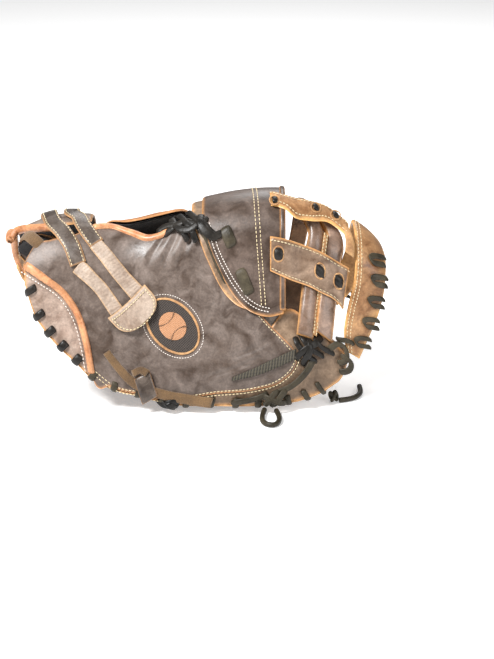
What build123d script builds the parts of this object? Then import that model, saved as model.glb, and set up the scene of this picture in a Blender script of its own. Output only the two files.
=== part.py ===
from build123d import *
import math
import os

import numpy as np

# A first-base mitt for the right hand, folded and standing palm down on its two laced edges.
# X runs from the wrist to the web, Y from the finger side to the thumb side, Z up. Millimetres.
# The back of the mitt is an arched form. A place on it is (x, s): s is the distance round the back
# from the ridge line, negative on the finger side and positive on the thumb side. d is the height
# above the form: above 0 along its outward normal, below 0 towards the core line inside the mitt.
# The finger side's patterns are drawn as (x, h): h is the height up a plane that leans back LEAN.

LEAN = math.radians(20)
LAYOUT_BASE = 22.9  # height of the lay-out plane's zero line above its own foot
LEAF_LENGTH = 150.0  # straight run of a leaf below the ridge arc
LEATHER = 2.0  # thickness of one leather
LAYER_GAP = 0.4  # clearance between two leathers that lie on each other
HINGE_Z = 178.0  # the fold line, just above the highest part of the web
FOLD_GAP = 1.0  # clearance at the fold line
CLOSE_ANGLE = math.radians(9)  # room left for the thumb side to close
LACE_WIDTH = 5.0
LACE_THICKNESS = 2.4
CORE_LOW = 35.0  # lowest point of the core line
CORE_DROP = 60.0  # the core line ends this far below the ridge


def curve(*points):
    """A smooth curve through a few (x, value) points, held level past its ends."""
    xs, ys = np.array(points, float).T
    slopes = np.gradient(ys, xs)

    def value(x):
        x = np.clip(x, xs[0], xs[-1])
        i = np.clip(np.searchsorted(xs, x, side="right") - 1, 0, len(xs) - 2)
        step = xs[i + 1] - xs[i]
        t = (x - xs[i]) / step
        start = ys[i] * (1 + 2 * t) * (1 - t) ** 2 + slopes[i] * step * t * (1 - t) ** 2
        end = ys[i + 1] * t * t * (3 - 2 * t) + slopes[i + 1] * step * t * t * (t - 1)
        return start + end

    return value


RIDGE_TOP = curve(
    (-165, 131), (-150, 138), (-127, 147), (-95, 149), (-60, 144.5), (-30, 151), (0, 158),
    (35, 165.5), (75, 167.5), (95, 164.5), (118, 151), (143, 137), (163, 119),
)
RIDGE_RADIUS = curve((-165, 47), (-95, 44), (-30, 40), (35, 38), (95, 37), (143, 33), (163, 30))
FINGER_LEAN = curve((-165, 9), (-100, 12), (0, 14), (80, 13), (163, 7))
THUMB_LEAN = curve((-165, 4), (-90, 6), (0, 9), (80, 8), (163, 2))
FINGER_BULGE = curve((-165, 4), (-60, 8), (60, 9), (163, 5))
THUMB_BULGE = curve((-165, 4), (-60, 7), (60, 8), (163, 4))


def bare_form(x, s):
    """Y and Z of the form: an arc over the ridge, then a straight leaf with a swell in it."""
    finger = s < 0
    lean = np.radians(np.where(finger, FINGER_LEAN(x), THUMB_LEAN(x)))
    swell = np.where(finger, FINGER_BULGE(x), THUMB_BULGE(x))
    radius = RIDGE_RADIUS(x)
    turn = np.minimum(np.abs(s) / radius, math.pi / 2 - lean)
    run = np.maximum(np.abs(s) - radius * (math.pi / 2 - lean), 0)
    share = run / LEAF_LENGTH
    swell = swell * 6.75 * share**2 * (1 - share)
    out = radius * np.sin(turn) + run * np.sin(lean) + swell * np.cos(lean)
    z = RIDGE_TOP(x) - radius * (1 - np.cos(turn)) - run * np.cos(lean) + swell * np.sin(lean)
    return np.where(finger, -out, out), z


def form(x, s, d=0.0):
    """Points at (x, s), d above the form, as an array whose last axis is X, Y, Z."""
    x, s, d = np.broadcast_arrays(np.asarray(x, float), s, d)
    y, z = bare_form(x, s)
    y_after, z_after = bare_form(x, s + 0.25)
    y_before, z_before = bare_form(x, s - 0.25)
    run_y, run_z = y_after - y_before, z_after - z_before
    length = np.hypot(run_y, run_z)
    core_z = np.clip(z, CORE_LOW, RIDGE_TOP(x) - CORE_DROP)
    reach = np.hypot(y, core_z - z)
    up_y = np.where(d > 0, -run_z / length, y / reach)
    up_z = np.where(d > 0, run_y / length, (z - core_z) / reach)
    return np.stack([x, y + d * up_y, z + d * up_z], axis=-1)


def solve(rule, low, high):
    """The s between low and high where the rule, which grows with s, is zero."""
    for _ in range(40):
        middle = (low + high) / 2
        above = rule(middle) > 0
        low, high = np.where(above, low, middle), np.where(above, middle, high)
    return (low + high) / 2


def at_height(x, h, d=0.0):
    """The finger side's s at lay-out height h, for a layer d above the form."""
    x, h = np.broadcast_arrays(np.asarray(x, float), h)

    def short_of(s):
        point = form(x, s, d)
        return point[..., 2] * math.cos(LEAN) + point[..., 1] * math.sin(LEAN) + LAYOUT_BASE - h

    return solve(short_of, np.full(x.shape, -200.0), RIDGE_RADIUS(x) * LEAN)


def at_level(x, z):
    """The thumb side's s at level z."""
    x, z = np.broadcast_arrays(np.asarray(x, float), z)
    return solve(lambda s: z - bare_form(x, s)[1], np.zeros(x.shape), np.full(x.shape, 200.0))


def past_fold(x, depth):
    """The thumb side's first s that stays clear of the finger side when the mitt closes."""

    def clear_of(s):
        point = form(x, s, depth(x, s))
        return point[..., 1] - (HINGE_Z - point[..., 2]) * math.tan(CLOSE_ANGLE) - FOLD_GAP

    return solve(clear_of, np.zeros(np.shape(x)), np.full(np.shape(x), 120.0))


def flat(value):
    """A layer depth that is the same all over, as a function of (x, s)."""
    return lambda x, s: value + 0 * x * s


def skin(grid):
    """A smooth face through a grid of points."""
    rows = [[Vector(*point) for point in row] for row in grid]
    for tolerance in (0.05, 0.1, 0.2, 0.4, 0.8):
        try:
            return Face.make_surface_from_array_of_points(
                rows, tol=tolerance, smoothing=(1, 1, 1), max_deg=5
            )
        except ValueError:
            continue
    raise ValueError("no face fits this grid")


def border(face, line):
    """The face's edge that follows one border line of its grid."""
    middle, ends = Vector(*line[len(line) // 2]), {0: Vector(*line[0]), 1: Vector(*line[-1])}

    def misfit(edge):
        forward = (edge @ 0 - ends[0]).length + (edge @ 1 - ends[1]).length
        backward = (edge @ 1 - ends[0]).length + (edge @ 0 - ends[1]).length
        return min(forward, backward) + (edge @ 0.5 - middle).length

    return min(face.edges(), key=misfit)


def slab(top, bottom):
    """A solid between two grids of points of the same shape."""
    faces = [skin(top), skin(bottom)]
    for pick in (np.s_[0], np.s_[-1], np.s_[:, 0], np.s_[:, -1]):
        pair = border(faces[0], top[pick]), border(faces[1], bottom[pick])
        faces.append(Face.make_surface_from_curves(*pair))
    solid = Solid(Shell(faces))
    return solid if solid.volume > 0 else Solid(Shell([-face for face in faces]))


def panel(xs, first, last, under, over, across=9):
    """A leather or pad between s = first(x) and last(x), from depth under to depth over."""
    x = np.array(xs, float)[:, None]
    share = np.linspace(0, 1, across)[None, :]
    grids = []
    for depth in (over, under):
        s = first(x, depth) * (1 - share) + last(x, depth) * share
        grids.append(form(x, s, depth(x, s)))
    return slab(*grids)


def resample(points, count):
    """count points evenly spaced along a smooth curve through the given points."""
    points = np.array(points, float)
    along = np.append(0, np.cumsum(np.linalg.norm(np.diff(points, axis=0), axis=1)))
    t = np.linspace(0, along[-1], count)
    columns = [curve(*zip(along, column))(t) for column in points.T]
    return np.stack(columns, axis=-1)


def strap_between(side_a, side_b, under, over, count=9, across=4):
    """A strap between two edges given as (x, s) points, with depths along it."""
    a, b = resample(side_a, count), resample(side_b, count)
    share = np.linspace(0, 1, across)[None, :, None]
    places = a[:, None] * (1 - share) + b[:, None] * share
    along = np.linspace(0, 1, count)[:, None]
    x, s = places[..., 0], places[..., 1]
    return slab(form(x, s, over(along)), form(x, s, under(along)))


def strap(path, width, under, over, count=9, across=4):
    """A strap of one width along (x, s) points."""
    path = resample(path, count)
    along = np.gradient(path, axis=0)
    side = np.stack([-along[:, 1], along[:, 0]], axis=-1)
    side *= width / 2 / np.linalg.norm(side, axis=1)[:, None]
    return strap_between(path + side, path - side, under, over, count, across)


def steady(value):
    """A depth that stays the same along a strap."""
    return lambda share: value + 0 * share


def on_back(*points, d=0.0):
    """Lay-out points (x, h) as (x, s)."""
    return [(x, float(at_height(x, h, d))) for x, h in points]


def at_side(*points):
    """Thumb side points (x, z) as (x, s)."""
    return [(x, float(at_level(x, z))) for x, z in points]


# --- Outlines -----------------------------------------------------------------------------------
# The finger side's laced edge as lay-out heights, and the thumb side's as levels above the floor.
FINGER_EDGE = curve(
    (-146, 112), (-138, 84), (-128, 67), (-115, 52), (-101, 39), (-89, 27), (-72, 18), (-47, 11.5),
    (-28, 6), (16, 3.6), (50, 3.6), (72, 5), (94, 10), (114, 20), (125, 31), (129, 42),
)
THUMB_EDGE = curve(
    (-164, 103), (-158, 84), (-150, 74), (-135, 55), (-120, 38), (-100, 23), (-70, 10.5), (-40, 5),
    (0, 3.4), (40, 3.6), (65, 7), (85, 15), (98, 28), (106, 44), (110, 58),
)
# The web side of each leaf, from the crotch to the tip.
FINGER_WEB_EDGE = curve(
    (-5, 158), (20, 128), (50, 98), (75, 84), (100, 69), (116, 57), (125, 49), (129, 44)
)
THUMB_WEB_EDGE = curve((-5, 146), (20, 122), (50, 102), (75, 88), (95, 76), (106, 68), (110, 62))
# The big back panel of the finger side.
PANEL_LOW = curve(
    (-146, 119.5), (-127, 108), (-111, 95), (-100, 78), (-94, 56), (-89, 31), (-72, 19.5),
    (-47, 13), (-28, 8), (-8, 10), (16, 14), (50, 17.5), (74, 26), (83, 36), (85.5, 43),
)
PANEL_HIGH = curve(
    (-146, 122), (-138, 137), (-123, 143), (-105, 147), (-86, 155), (-72, 156), (-56, 150.5),
    (-39, 146), (-30, 148.5), (-20, 155), (-8, 157), (5, 147), (25, 120), (45, 93), (60, 74),
    (72, 62), (83, 50), (85.5, 46),
)
CROTCH_X = -5.0
FINGER_TIP_X = 128.0
THUMB_TIP_X = 109.0
WRIST_END_X = -146.0
RIM_END_X = -163.5

# Depths: the whole leaf's thickness, and the hand's room under the back leathers.
LEAF_DEPTH = curve((-165, 34), (-100, 39), (-50, 37), (0, 30), (50, 20), (100, 13), (128, 8))
HAND_DEPTH = curve((-165, 23), (-100, 24), (-50, 21), (0, 12), (40, 4), (62, 0))
EDGE_DEPTH = 6.6  # two leathers and the felt, pinched together by the lacing
SHELL_DEPTH = 2.5  # first free depth under the back leathers
SWELL_WIDTH = 32.0  # distance from the edge to the full thickness


STATIONS = np.linspace(-165, 165, 67)
FINGER_EDGE_S = curve(*zip(STATIONS, at_height(STATIONS, FINGER_EDGE(STATIONS))))
FINGER_WEB_S = curve(*zip(STATIONS, at_height(STATIONS, FINGER_WEB_EDGE(STATIONS))))
THUMB_EDGE_S = curve(*zip(STATIONS, at_level(STATIONS, THUMB_EDGE(STATIONS))))
THUMB_WEB_S = curve(*zip(STATIONS, at_level(STATIONS, THUMB_WEB_EDGE(STATIONS))))


def ease(share):
    """Smooth step from 0 to 1."""
    share = np.clip(share, 0, 1)
    return share * share * (3 - 2 * share)


def room_from_edge(x, s):
    """How far (x, s) lies inside its leaf's laced edge and, past the crotch, its web edge."""
    edge = np.where(s < 0, FINGER_EDGE_S(x), THUMB_EDGE_S(x))
    web = np.where(s < 0, FINGER_WEB_S(x), THUMB_WEB_S(x))
    from_edge = np.abs(edge) - np.abs(s)
    from_web = np.where(x > CROTCH_X, np.abs(s) - np.abs(web), SWELL_WIDTH)
    opens = ease((x - CROTCH_X) / 30)
    from_web = SWELL_WIDTH * (1 - opens) + from_web * opens
    return np.maximum(np.minimum(from_edge, from_web), 0)


def leaf_depth(x, s):
    return EDGE_DEPTH + (LEAF_DEPTH(x) - EDGE_DEPTH) * ease(room_from_edge(x, s) / SWELL_WIDTH)


def hand_depth(x, s):
    return SHELL_DEPTH + HAND_DEPTH(x) * ease(room_from_edge(x, s) / SWELL_WIDTH)


def pad_top(x, s):
    return -hand_depth(x, s)


def pad_bottom(x, s):
    return -leaf_depth(x, s) + LEATHER + LAYER_GAP


def palm_top(x, s):
    return -leaf_depth(x, s) + LEATHER


def palm_bottom(x, s):
    return -leaf_depth(x, s)


def finger_edge(x, depth, inset=0.0):
    return FINGER_EDGE_S(x) + inset


def thumb_edge(x, depth, inset=0.0):
    return THUMB_EDGE_S(x) - inset


def finger_top(x, depth):
    """The finger leaf's upper limit: the fold line, and past the crotch its web edge."""
    fold = -0.8
    return np.where(x < CROTCH_X, fold, np.minimum(FINGER_WEB_S(x), fold))


def thumb_top(x, depth):
    """The thumb leaf's upper limit: clear of the fold, and past the crotch its web edge."""
    fold = past_fold(x, depth)
    return np.where(x < CROTCH_X, fold, np.maximum(THUMB_WEB_S(x), fold))


def stitch(start, inward, width, above=0.4, reach=6.5):
    """A U of lacing over a laced edge: start and the inward direction are in (x, s)."""
    start, inward = np.array(start), np.array(inward)
    side = np.array([-inward[1], inward[0]]) * width / 2
    turns = np.linspace(0, math.pi / 2, 5)
    grids = []
    for extra in (LACE_THICKNESS, 0.0):
        corner = 1.4 + extra
        bend = corner * np.sin(turns), corner * np.cos(turns)
        u = np.concatenate([[reach, reach * 0.7], corner - bend[0], corner - bend[1], [reach * 0.7, reach]])
        u = u - np.concatenate([[0, 0], np.full(10, extra + 0.4), [0, 0]])
        drop = np.concatenate([[0, 0], corner - bend[1], bend[0] - corner, [0, 0]])
        under = np.arange(len(u)) > 6
        rows = []
        for share in (-1, -1 / 3, 1 / 3, 1):
            x, s = (start[:, None] + inward[:, None] * u + side[:, None] * share)
            outer = above + extra - drop
            inner = -leaf_depth(x, s) - 0.6 - extra - drop
            rows.append(form(x, s, np.where(under, inner, outer)))
        grids.append(np.stack(rows, axis=1))
    return slab(*grids)


def edge_stitches(edge, xs, turn, above, width=LACE_WIDTH):
    """Stitches along a laced edge at the given x, square to it."""
    solids = []
    for x in xs:
        slope = float(edge(x + 1) - edge(x - 1)) / 2
        inward = np.array([-slope, 1.0]) * turn
        solids.append(stitch((x, float(edge(x))), inward / np.linalg.norm(inward), width, above))
    return Compound(solids)


os.makedirs("parts", exist_ok=True)
parts = {}

# --- Finger side: palm leather, felt pad, shells, back panel and lining ---------------------------
leaf_xs = np.concatenate([[-145, -140], np.linspace(-132, 112, 21), [119, 124, 127]])
parts["palm_leather_finger"] = panel(leaf_xs, finger_edge, finger_top, palm_bottom, palm_top, 13)
parts["finger_pad"] = panel(
    leaf_xs, lambda x, depth: finger_edge(x, depth, 1.5), finger_top, pad_bottom, pad_top, 13
)
parts["heel_shell_finger"] = panel(
    np.linspace(-145, -82, 10), finger_edge,
    lambda x, depth: at_height(x, np.minimum(PANEL_LOW(x) + 8, PANEL_HIGH(x) + 3)),
    flat(-LEATHER), flat(0), 5,
)
TIP_HIGH = curve((-5, 20), (20, 26), (45, 40), (62, 68), (75, 84), (100, 69), (116, 57), (128, 45))
parts["fingertip_shell"] = panel(
    np.concatenate([np.linspace(-4, 118, 15), [124, 127.5]]), finger_edge,
    lambda x, depth: at_height(x, TIP_HIGH(x)), flat(-LEATHER), flat(0), 7,
)
panel_xs = np.concatenate([[-145.5, -141], np.linspace(-134, 76, 26), [81, 85]])
parts["finger_back_panel"] = panel(
    panel_xs, lambda x, depth: at_height(x, PANEL_LOW(x)), lambda x, depth: at_height(x, PANEL_HIGH(x)),
    flat(LAYER_GAP), flat(LAYER_GAP + LEATHER), 11,
)
LINING_LOW = curve((-138, 133), (-111, 107), (-98, 92), (-84, 44), (-60, 24), (-20, 22), (10, 38), (36, 60))
parts["finger_back_lining"] = panel(
    np.linspace(-136, 36, 15), lambda x, depth: at_height(x, LINING_LOW(x)),
    lambda x, depth: at_height(x, PANEL_HIGH(x) - 4), flat(-2.2), flat(-0.9), 7,
)

# --- Finger side: bound edges -----------------------------------------------------------------------
BINDING_WIDTH = 6.5
on_panel = steady(LAYER_GAP * 2 + LEATHER)
binding_top = steady(LAYER_GAP * 2 + LEATHER + 2.4)
parts["heel_binding_finger"] = strap(
    on_back((-143, 121), (-127, 110.5), (-111, 97.5), (-99.5, 79), (-93, 57), (-88.5, 34)),
    BINDING_WIDTH, on_panel, binding_top, 12,
)
parts["window_binding_finger"] = strap(
    on_back((-86, 151), (-72, 152), (-56, 147), (-40, 142.5), (-30, 145), (-23, 150)),
    BINDING_WIDTH - 1, on_panel, binding_top, 9,
)

# --- The wrist cuff, which goes over the ridge in two halves ----------------------------------------
CUFF_NEAR = curve((-158, 151), (-150, 153), (-139, 154), (-125, 155), (-100, 158), (-90, 160))
cuff_depth = flat(LAYER_GAP), flat(LAYER_GAP + LEATHER)


def finger_fold(x, depth):
    return -0.8 + 0 * x


parts["wrist_cuff_finger"] = panel(
    np.linspace(-156, -90, 9), lambda x, depth: at_height(x, CUFF_NEAR(x)), finger_fold, *cuff_depth, 4
)
parts["cuff_binding_finger"] = strap(
    [(x, float(at_height(x, CUFF_NEAR(x))) - 3.6) for x in (-155, -146, -136, -125, -112)],
    BINDING_WIDTH, steady(LAYER_GAP), steady(LAYER_GAP + 4), 7,
)

# --- Straps: two bands come over the ridge, and the pull tab's two bands start where they end ---------
BAND_WIDTH = 14.0
BAND_PATHS = {
    "wrist": ((-122, 158), (-113, 150), (-105, 138.5), (-99.2, 123)),
    "knuckle": ((-102, 164), (-96, 156), (-90, 148), (-84.2, 140.5)),
}
BAND_DEPTH = 6.4  # over the cuff and its binding, then down to the back panel
band_under = curve((0, BAND_DEPTH - LEATHER), (0.3, BAND_DEPTH - LEATHER), (0.6, 3.4), (1, 3.4))
band_over = curve((0, BAND_DEPTH), (0.3, BAND_DEPTH), (0.6, 3.4 + LEATHER), (1, 3.4 + LEATHER))
for band, path in BAND_PATHS.items():
    start_x = path[0][0] - 4
    parts[f"strap_band_{band}_finger"] = strap(
        [(start_x, -1.5), *on_back(*path, d=3.4)], BAND_WIDTH, band_under, band_over, 10
    )

TAB_CORNER = np.array([-74.5, 77.5])  # lower left end of the tab's straight edge
TAB_LONG, TAB_DEEP, TAB_ROUND = 42.0, 23.5, 14.0
TAB_TURN = math.radians(42.5)  # the straight edge climbs this much towards the ridge
along_tab = np.array([math.cos(TAB_TURN), math.sin(TAB_TURN)])
down_tab = np.array([math.sin(TAB_TURN), -math.cos(TAB_TURN)])


def tab_patch(inset, under, over):
    """A patch with two round far corners, laid on the back beside the tab's straight edge."""
    rows = []
    for v in np.linspace(inset, TAB_DEEP - inset, 9):
        drop = max(v - (TAB_DEEP - TAB_ROUND), 0)
        pull = TAB_ROUND - math.sqrt(max(TAB_ROUND**2 - drop**2, 0)) + inset
        ends = [TAB_CORNER + along_tab * u + down_tab * v for u in (pull, TAB_LONG - pull)]
        rows.append(on_back(*[tuple(end) for end in ends], d=under))
    return strap_between([r[0] for r in rows], [r[1] for r in rows], steady(under), steady(over), 9)


HOOK_UNDER = LAYER_GAP * 2 + LEATHER
TAB_UNDER = HOOK_UNDER + 1.2  # the tab's bands lie this high, and its pad above the hook and loop


def tab_square(under, over):
    """A square of hook-and-loop tape under the pad, beside the oval patch."""
    u_range, v_range = (8, 27), (5, 15)
    corners = [[TAB_CORNER + along_tab * u + down_tab * v for v in v_range] for u in u_range]
    sides = [on_back(tuple(a), tuple((a + b) / 2), tuple(b), d=under) for a, b in corners]
    return strap_between(*sides, steady(under), steady(over), 4)


parts["hook_patch"] = tab_square(HOOK_UNDER, HOOK_UNDER + 0.8)
parts["loop_patch"] = tab_square(HOOK_UNDER + 1.6, HOOK_UNDER + 2.6)
parts["tab_pad"] = tab_patch(0, HOOK_UNDER + 3.2, HOOK_UNDER + 6.0)
TAB_BANDS = {
    "wrist": ((-96.8, 118.6), (-88.5, 111), (-80.5, 102.5), (-73.5, 92.5), (-69.5, 85.5)),
    "knuckle": ((-82, 137), (-74, 127), (-67, 118), (-60, 109.5), (-52.5, 101)),
}
for band, path in TAB_BANDS.items():
    parts[f"tab_band_{band}"] = strap(
        on_back(*path, d=TAB_UNDER), BAND_WIDTH - 1, steady(TAB_UNDER), steady(TAB_UNDER + 1.8), 9
    )

# --- The oval patch on the back: ground, rim and a plain embroidered ball ------------------------------
PATCH_CENTRE = np.array([-20.0, 70.7])
PATCH_LONG, PATCH_SHORT = 27.5, 19.5
PATCH_TURN = math.radians(-48)
PATCH_UNDER = LAYER_GAP * 2 + LEATHER


def oval_grid(scale_long, scale_short, depth, count=9):
    """A square grid bent to fill an oval on the back."""
    u, v = np.meshgrid(np.linspace(-1, 1, count), np.linspace(-1, 1, count), indexing="ij")
    long = scale_long * u * np.sqrt(1 - v**2 / 2)
    short = scale_short * v * np.sqrt(1 - u**2 / 2)
    x = PATCH_CENTRE[0] + long * math.cos(PATCH_TURN) - short * math.sin(PATCH_TURN)
    h = PATCH_CENTRE[1] + long * math.sin(PATCH_TURN) + short * math.cos(PATCH_TURN)
    return form(x, at_height(x, h, depth), depth)


def oval_slab(scale_long, scale_short, under, over):
    return slab(oval_grid(scale_long, scale_short, over), oval_grid(scale_long, scale_short, under))


RIM_WIDTH = 2.6
parts["patch_ground"] = oval_slab(
    PATCH_LONG - RIM_WIDTH - 0.5, PATCH_SHORT - RIM_WIDTH - 0.5, PATCH_UNDER, PATCH_UNDER + 0.6
)
rim_outer = oval_slab(PATCH_LONG, PATCH_SHORT, PATCH_UNDER, PATCH_UNDER + 0.9)
rim_hole = oval_slab(PATCH_LONG - RIM_WIDTH, PATCH_SHORT - RIM_WIDTH, PATCH_UNDER - 3, PATCH_UNDER + 4)
parts["patch_rim"] = rim_outer - rim_hole
parts["patch_ball"] = oval_slab(11.5, 9.5, PATCH_UNDER + 0.8, PATCH_UNDER + 1.6)

# --- The web: base panel and backing, two padded bars, two posts and the rim --------------------------
BASE_UNDER = LAYER_GAP * 2 + LEATHER + 2.4 + 0.3
BASE_LOW = curve(
    (3, 157), (8, 146), (16.5, 125), (27.6, 102), (40.8, 86), (52, 80), (60.6, 78.5), (73.5, 81)
)
BACKING_LOW = curve((-6, 157), (0, 148), (9, 127), (20, 104), (33, 89), (45, 84), (60, 82), (70, 84))
THUMB_BASE_LOW = curve((-4, 139), (8, 126), (20, 113), (40, 98), (60, 90), (73.5, 86))
base_xs = np.concatenate([[4.5, 7], np.linspace(12, 73.5, 12)])
backing_xs = np.concatenate([[-4.5, -2], np.linspace(3, 70, 12)])
parts["web_base_backing_finger"] = panel(
    backing_xs, lambda x, depth: at_height(x, BACKING_LOW(x)), finger_fold,
    flat(HOOK_UNDER), flat(HOOK_UNDER + 1.8), 9,
)
parts["web_base_finger"] = panel(
    base_xs, lambda x, depth: at_height(x, BASE_LOW(x)), finger_fold, flat(BASE_UNDER), flat(BASE_UNDER + 2.2), 9
)
BAR_PATHS = {
    "near": ((91.5, 62), (94, 84), (96.5, 105), (99, 130), (101.5, 150)),
    "far": ((107.5, 62), (110, 84), (112.5, 105), (115, 130), (117.5, 148)),
}
BAR_OVER_RIDGE = {"near": (90.5, -5), "far": (106.3, -5)}
BAR_WIDTH = 14.6
BAR_THICK = 9.0
bar_under = curve((0, 0.5), (0.12, 0.5), (0.3, -4), (1, -4))
for bar, path in BAR_PATHS.items():
    parts[f"web_bar_{bar}_finger"] = strap(
        [*on_back(*path), BAR_OVER_RIDGE[bar]], BAR_WIDTH, bar_under,
        lambda share: bar_under(share) + BAR_THICK - 2 * ease(share * 3), 13,
    )
POSTS = {
    "lower": (
        ((62, 146), (74, 144), (94, 137.5), (113.5, 128.5), (129, 119.5)),
        ((62, 117), (73, 112), (83, 108), (102.5, 100), (118, 91.5), (124, 84)),
    ),
    "upper": (
        ((62, 182), (78, 178.5), (94, 177), (113.5, 170), (129, 159)),
        ((63, 171), (74, 168), (84, 161), (96, 159.5), (113.5, 157.5), (129, 146)),
    ),
}
POST_THICK = 4.0
post_under = curve((0, BASE_UNDER + 2.6), (0.2, BASE_UNDER + 2.6), (0.4, 5.6), (0.8, 5.6), (1, 4.4))
for post, (upper, lower) in POSTS.items():
    parts[f"web_post_{post}"] = strap_between(
        on_back(*upper, d=7.0), on_back(*lower, d=7.0), post_under,
        lambda share: post_under(share) + POST_THICK, 11,
    )
RIM_LEFT = ((126.5, 50), (125, 66), (127.5, 84), (133, 109), (134.5, 138), (134, 150))
RIM_RIGHT = ((138.5, 43), (147, 62), (155.5, 83), (160.5, 109), (159.5, 136), (152.5, 147.5))
RIM_THICK = 4.2
parts["web_rim_finger"] = strap_between(
    [*on_back(*RIM_LEFT), (133.5, -1.5)], [*on_back(*RIM_RIGHT), (151, -1.5)],
    steady(0.5), steady(0.5 + RIM_THICK), 13,
)

# --- Thumb side: palm leather, felt pad, shells, back panel, lining and bound edges --------------------
THUMB_PANEL_HIGH = curve(
    (-162, 112), (-157, 118), (-90, 120), (-82, 134), (-60, 141), (-35, 147), (-12, 150), (0, 140),
    (20, 124), (45, 104), (62, 92), (74, 78),
)
THUMB_PANEL_LOW = curve(
    (-162, 104), (-157, 92), (-140, 72), (-115, 48), (-90, 24), (-60, 14), (-20, 13), (30, 20),
    (55, 32), (68, 50), (74, 66),
)
thumb_xs = np.concatenate([[-149, -144], np.linspace(-136, 92, 18), [99, 104, 108]])
parts["palm_leather_thumb"] = panel(thumb_xs, thumb_top, thumb_edge, palm_bottom, palm_top, 13)
parts["thumb_pad"] = panel(
    thumb_xs, thumb_top, lambda x, depth: thumb_edge(x, depth, 1.5), pad_bottom, pad_top, 13
)
THUMB_SHELL_HIGH = curve(
    (-162, 108), (-157, 100), (-140, 80), (-115, 56), (-90, 33), (-60, 24), (-20, 23), (20, 34),
    (45, 60), (62, 88), (75, 86), (95, 74), (108, 62),
)
parts["thumb_shell"] = panel(
    np.concatenate([[-162, -157], np.linspace(-149, 96, 18), [103, 108]]),
    lambda x, depth: at_level(x, THUMB_SHELL_HIGH(x)), thumb_edge, flat(-LEATHER), flat(0), 7,
)
parts["thumb_back_panel"] = panel(
    np.concatenate([[-162, -157], np.linspace(-149, 66, 18), [71, 74]]),
    lambda x, depth: at_level(x, THUMB_PANEL_HIGH(x)), lambda x, depth: at_level(x, THUMB_PANEL_LOW(x)),
    flat(LAYER_GAP), flat(LAYER_GAP + LEATHER), 9,
)
THUMB_LINING_LOW = curve((-140, 92), (-115, 68), (-90, 44), (-60, 32), (-20, 31), (20, 46), (34, 62))
parts["thumb_back_lining"] = panel(
    np.linspace(-138, 34, 13), lambda x, depth: at_level(x, THUMB_PANEL_HIGH(x) - 4),
    lambda x, depth: at_level(x, THUMB_LINING_LOW(x)), flat(-2.2), flat(-0.9), 7,
)


def thumb_fold(x, depth):
    return past_fold(x, depth)


CUFF_LOW_THUMB = curve((-161, 114), (-157, 108), (-90, 108))
parts["wrist_cuff_thumb"] = panel(
    np.concatenate([[-161, -157], np.linspace(-150, -90, 7)]), thumb_fold,
    lambda x, depth: at_level(x, CUFF_LOW_THUMB(x)), flat(HOOK_UNDER), flat(HOOK_UNDER + LEATHER), 9,
)
parts["cuff_binding_thumb"] = strap(
    at_side((-157.5, 127), (-158.5, 119), (-158.2, 111), (-156.5, 103)),
    BINDING_WIDTH, steady(HOOK_UNDER + LEATHER + 0.4), steady(HOOK_UNDER + LEATHER + 3), 6,
)
parts["window_binding_thumb"] = strap(
    at_side((-80, 129), (-62, 136), (-40, 142), (-20, 145)), BINDING_WIDTH - 1, on_panel, binding_top, 7
)
parts["web_base_backing_thumb"] = panel(
    backing_xs, thumb_fold, lambda x, depth: at_level(x, THUMB_BASE_LOW(x) - 3),
    flat(HOOK_UNDER), flat(HOOK_UNDER + 1.8), 9,
)
parts["web_base_thumb"] = panel(
    base_xs, thumb_fold, lambda x, depth: at_level(x, THUMB_BASE_LOW(x)), flat(BASE_UNDER), flat(BASE_UNDER + 2.2), 9
)
THUMB_BARS = {
    "near": ((90.5, 151), (88.5, 130), (85, 108), (81, 86)),
    "far": ((106.5, 146), (104.5, 126), (101, 104), (97, 80)),
}
for bar, path in THUMB_BARS.items():
    parts[f"web_bar_{bar}_thumb"] = strap(
        at_side(*path), BAR_WIDTH - 0.4, steady(-4), steady(3), 10
    )
parts["web_rim_thumb"] = strap_between(
    at_side((132, 129), (131, 116), (126, 98), (119, 82), (112, 68)),
    at_side((150, 118), (149, 106), (144, 88), (136, 70), (124, 54)),
    steady(0.5), steady(0.5 + RIM_THICK), 11,
)

# --- Lacing: whip stitches round the edges, the web's laces and their knots ---------------------------
HEEL_STITCHES = (-142.5, -135.5, -126, -115, -102.5)
FOOT_STITCHES = (-89, -70, -50, -30, -9, 12, 33, 52, 78, 94, 107)
parts["heel_lace_finger"] = edge_stitches(FINGER_EDGE_S, HEEL_STITCHES, 1, 0.6, LACE_WIDTH + 1)
parts["edge_lace_finger"] = edge_stitches(FINGER_EDGE_S, FOOT_STITCHES, 1, 3.2)
THUMB_STITCHES = (-152, -142, -129, -114, -97, -77, -56, -35, -14, 7, 28, 49, 68, 84, 96)
parts["edge_lace_thumb"] = edge_stitches(THUMB_EDGE_S, THUMB_STITCHES, -1, 3.2)


def laced(paths, width, under, over):
    """Short flat runs of lace on the form, each from one (x, s) point to the next."""
    return Compound([strap(path, width, steady(under), steady(over), 5) for path in paths])


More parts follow.
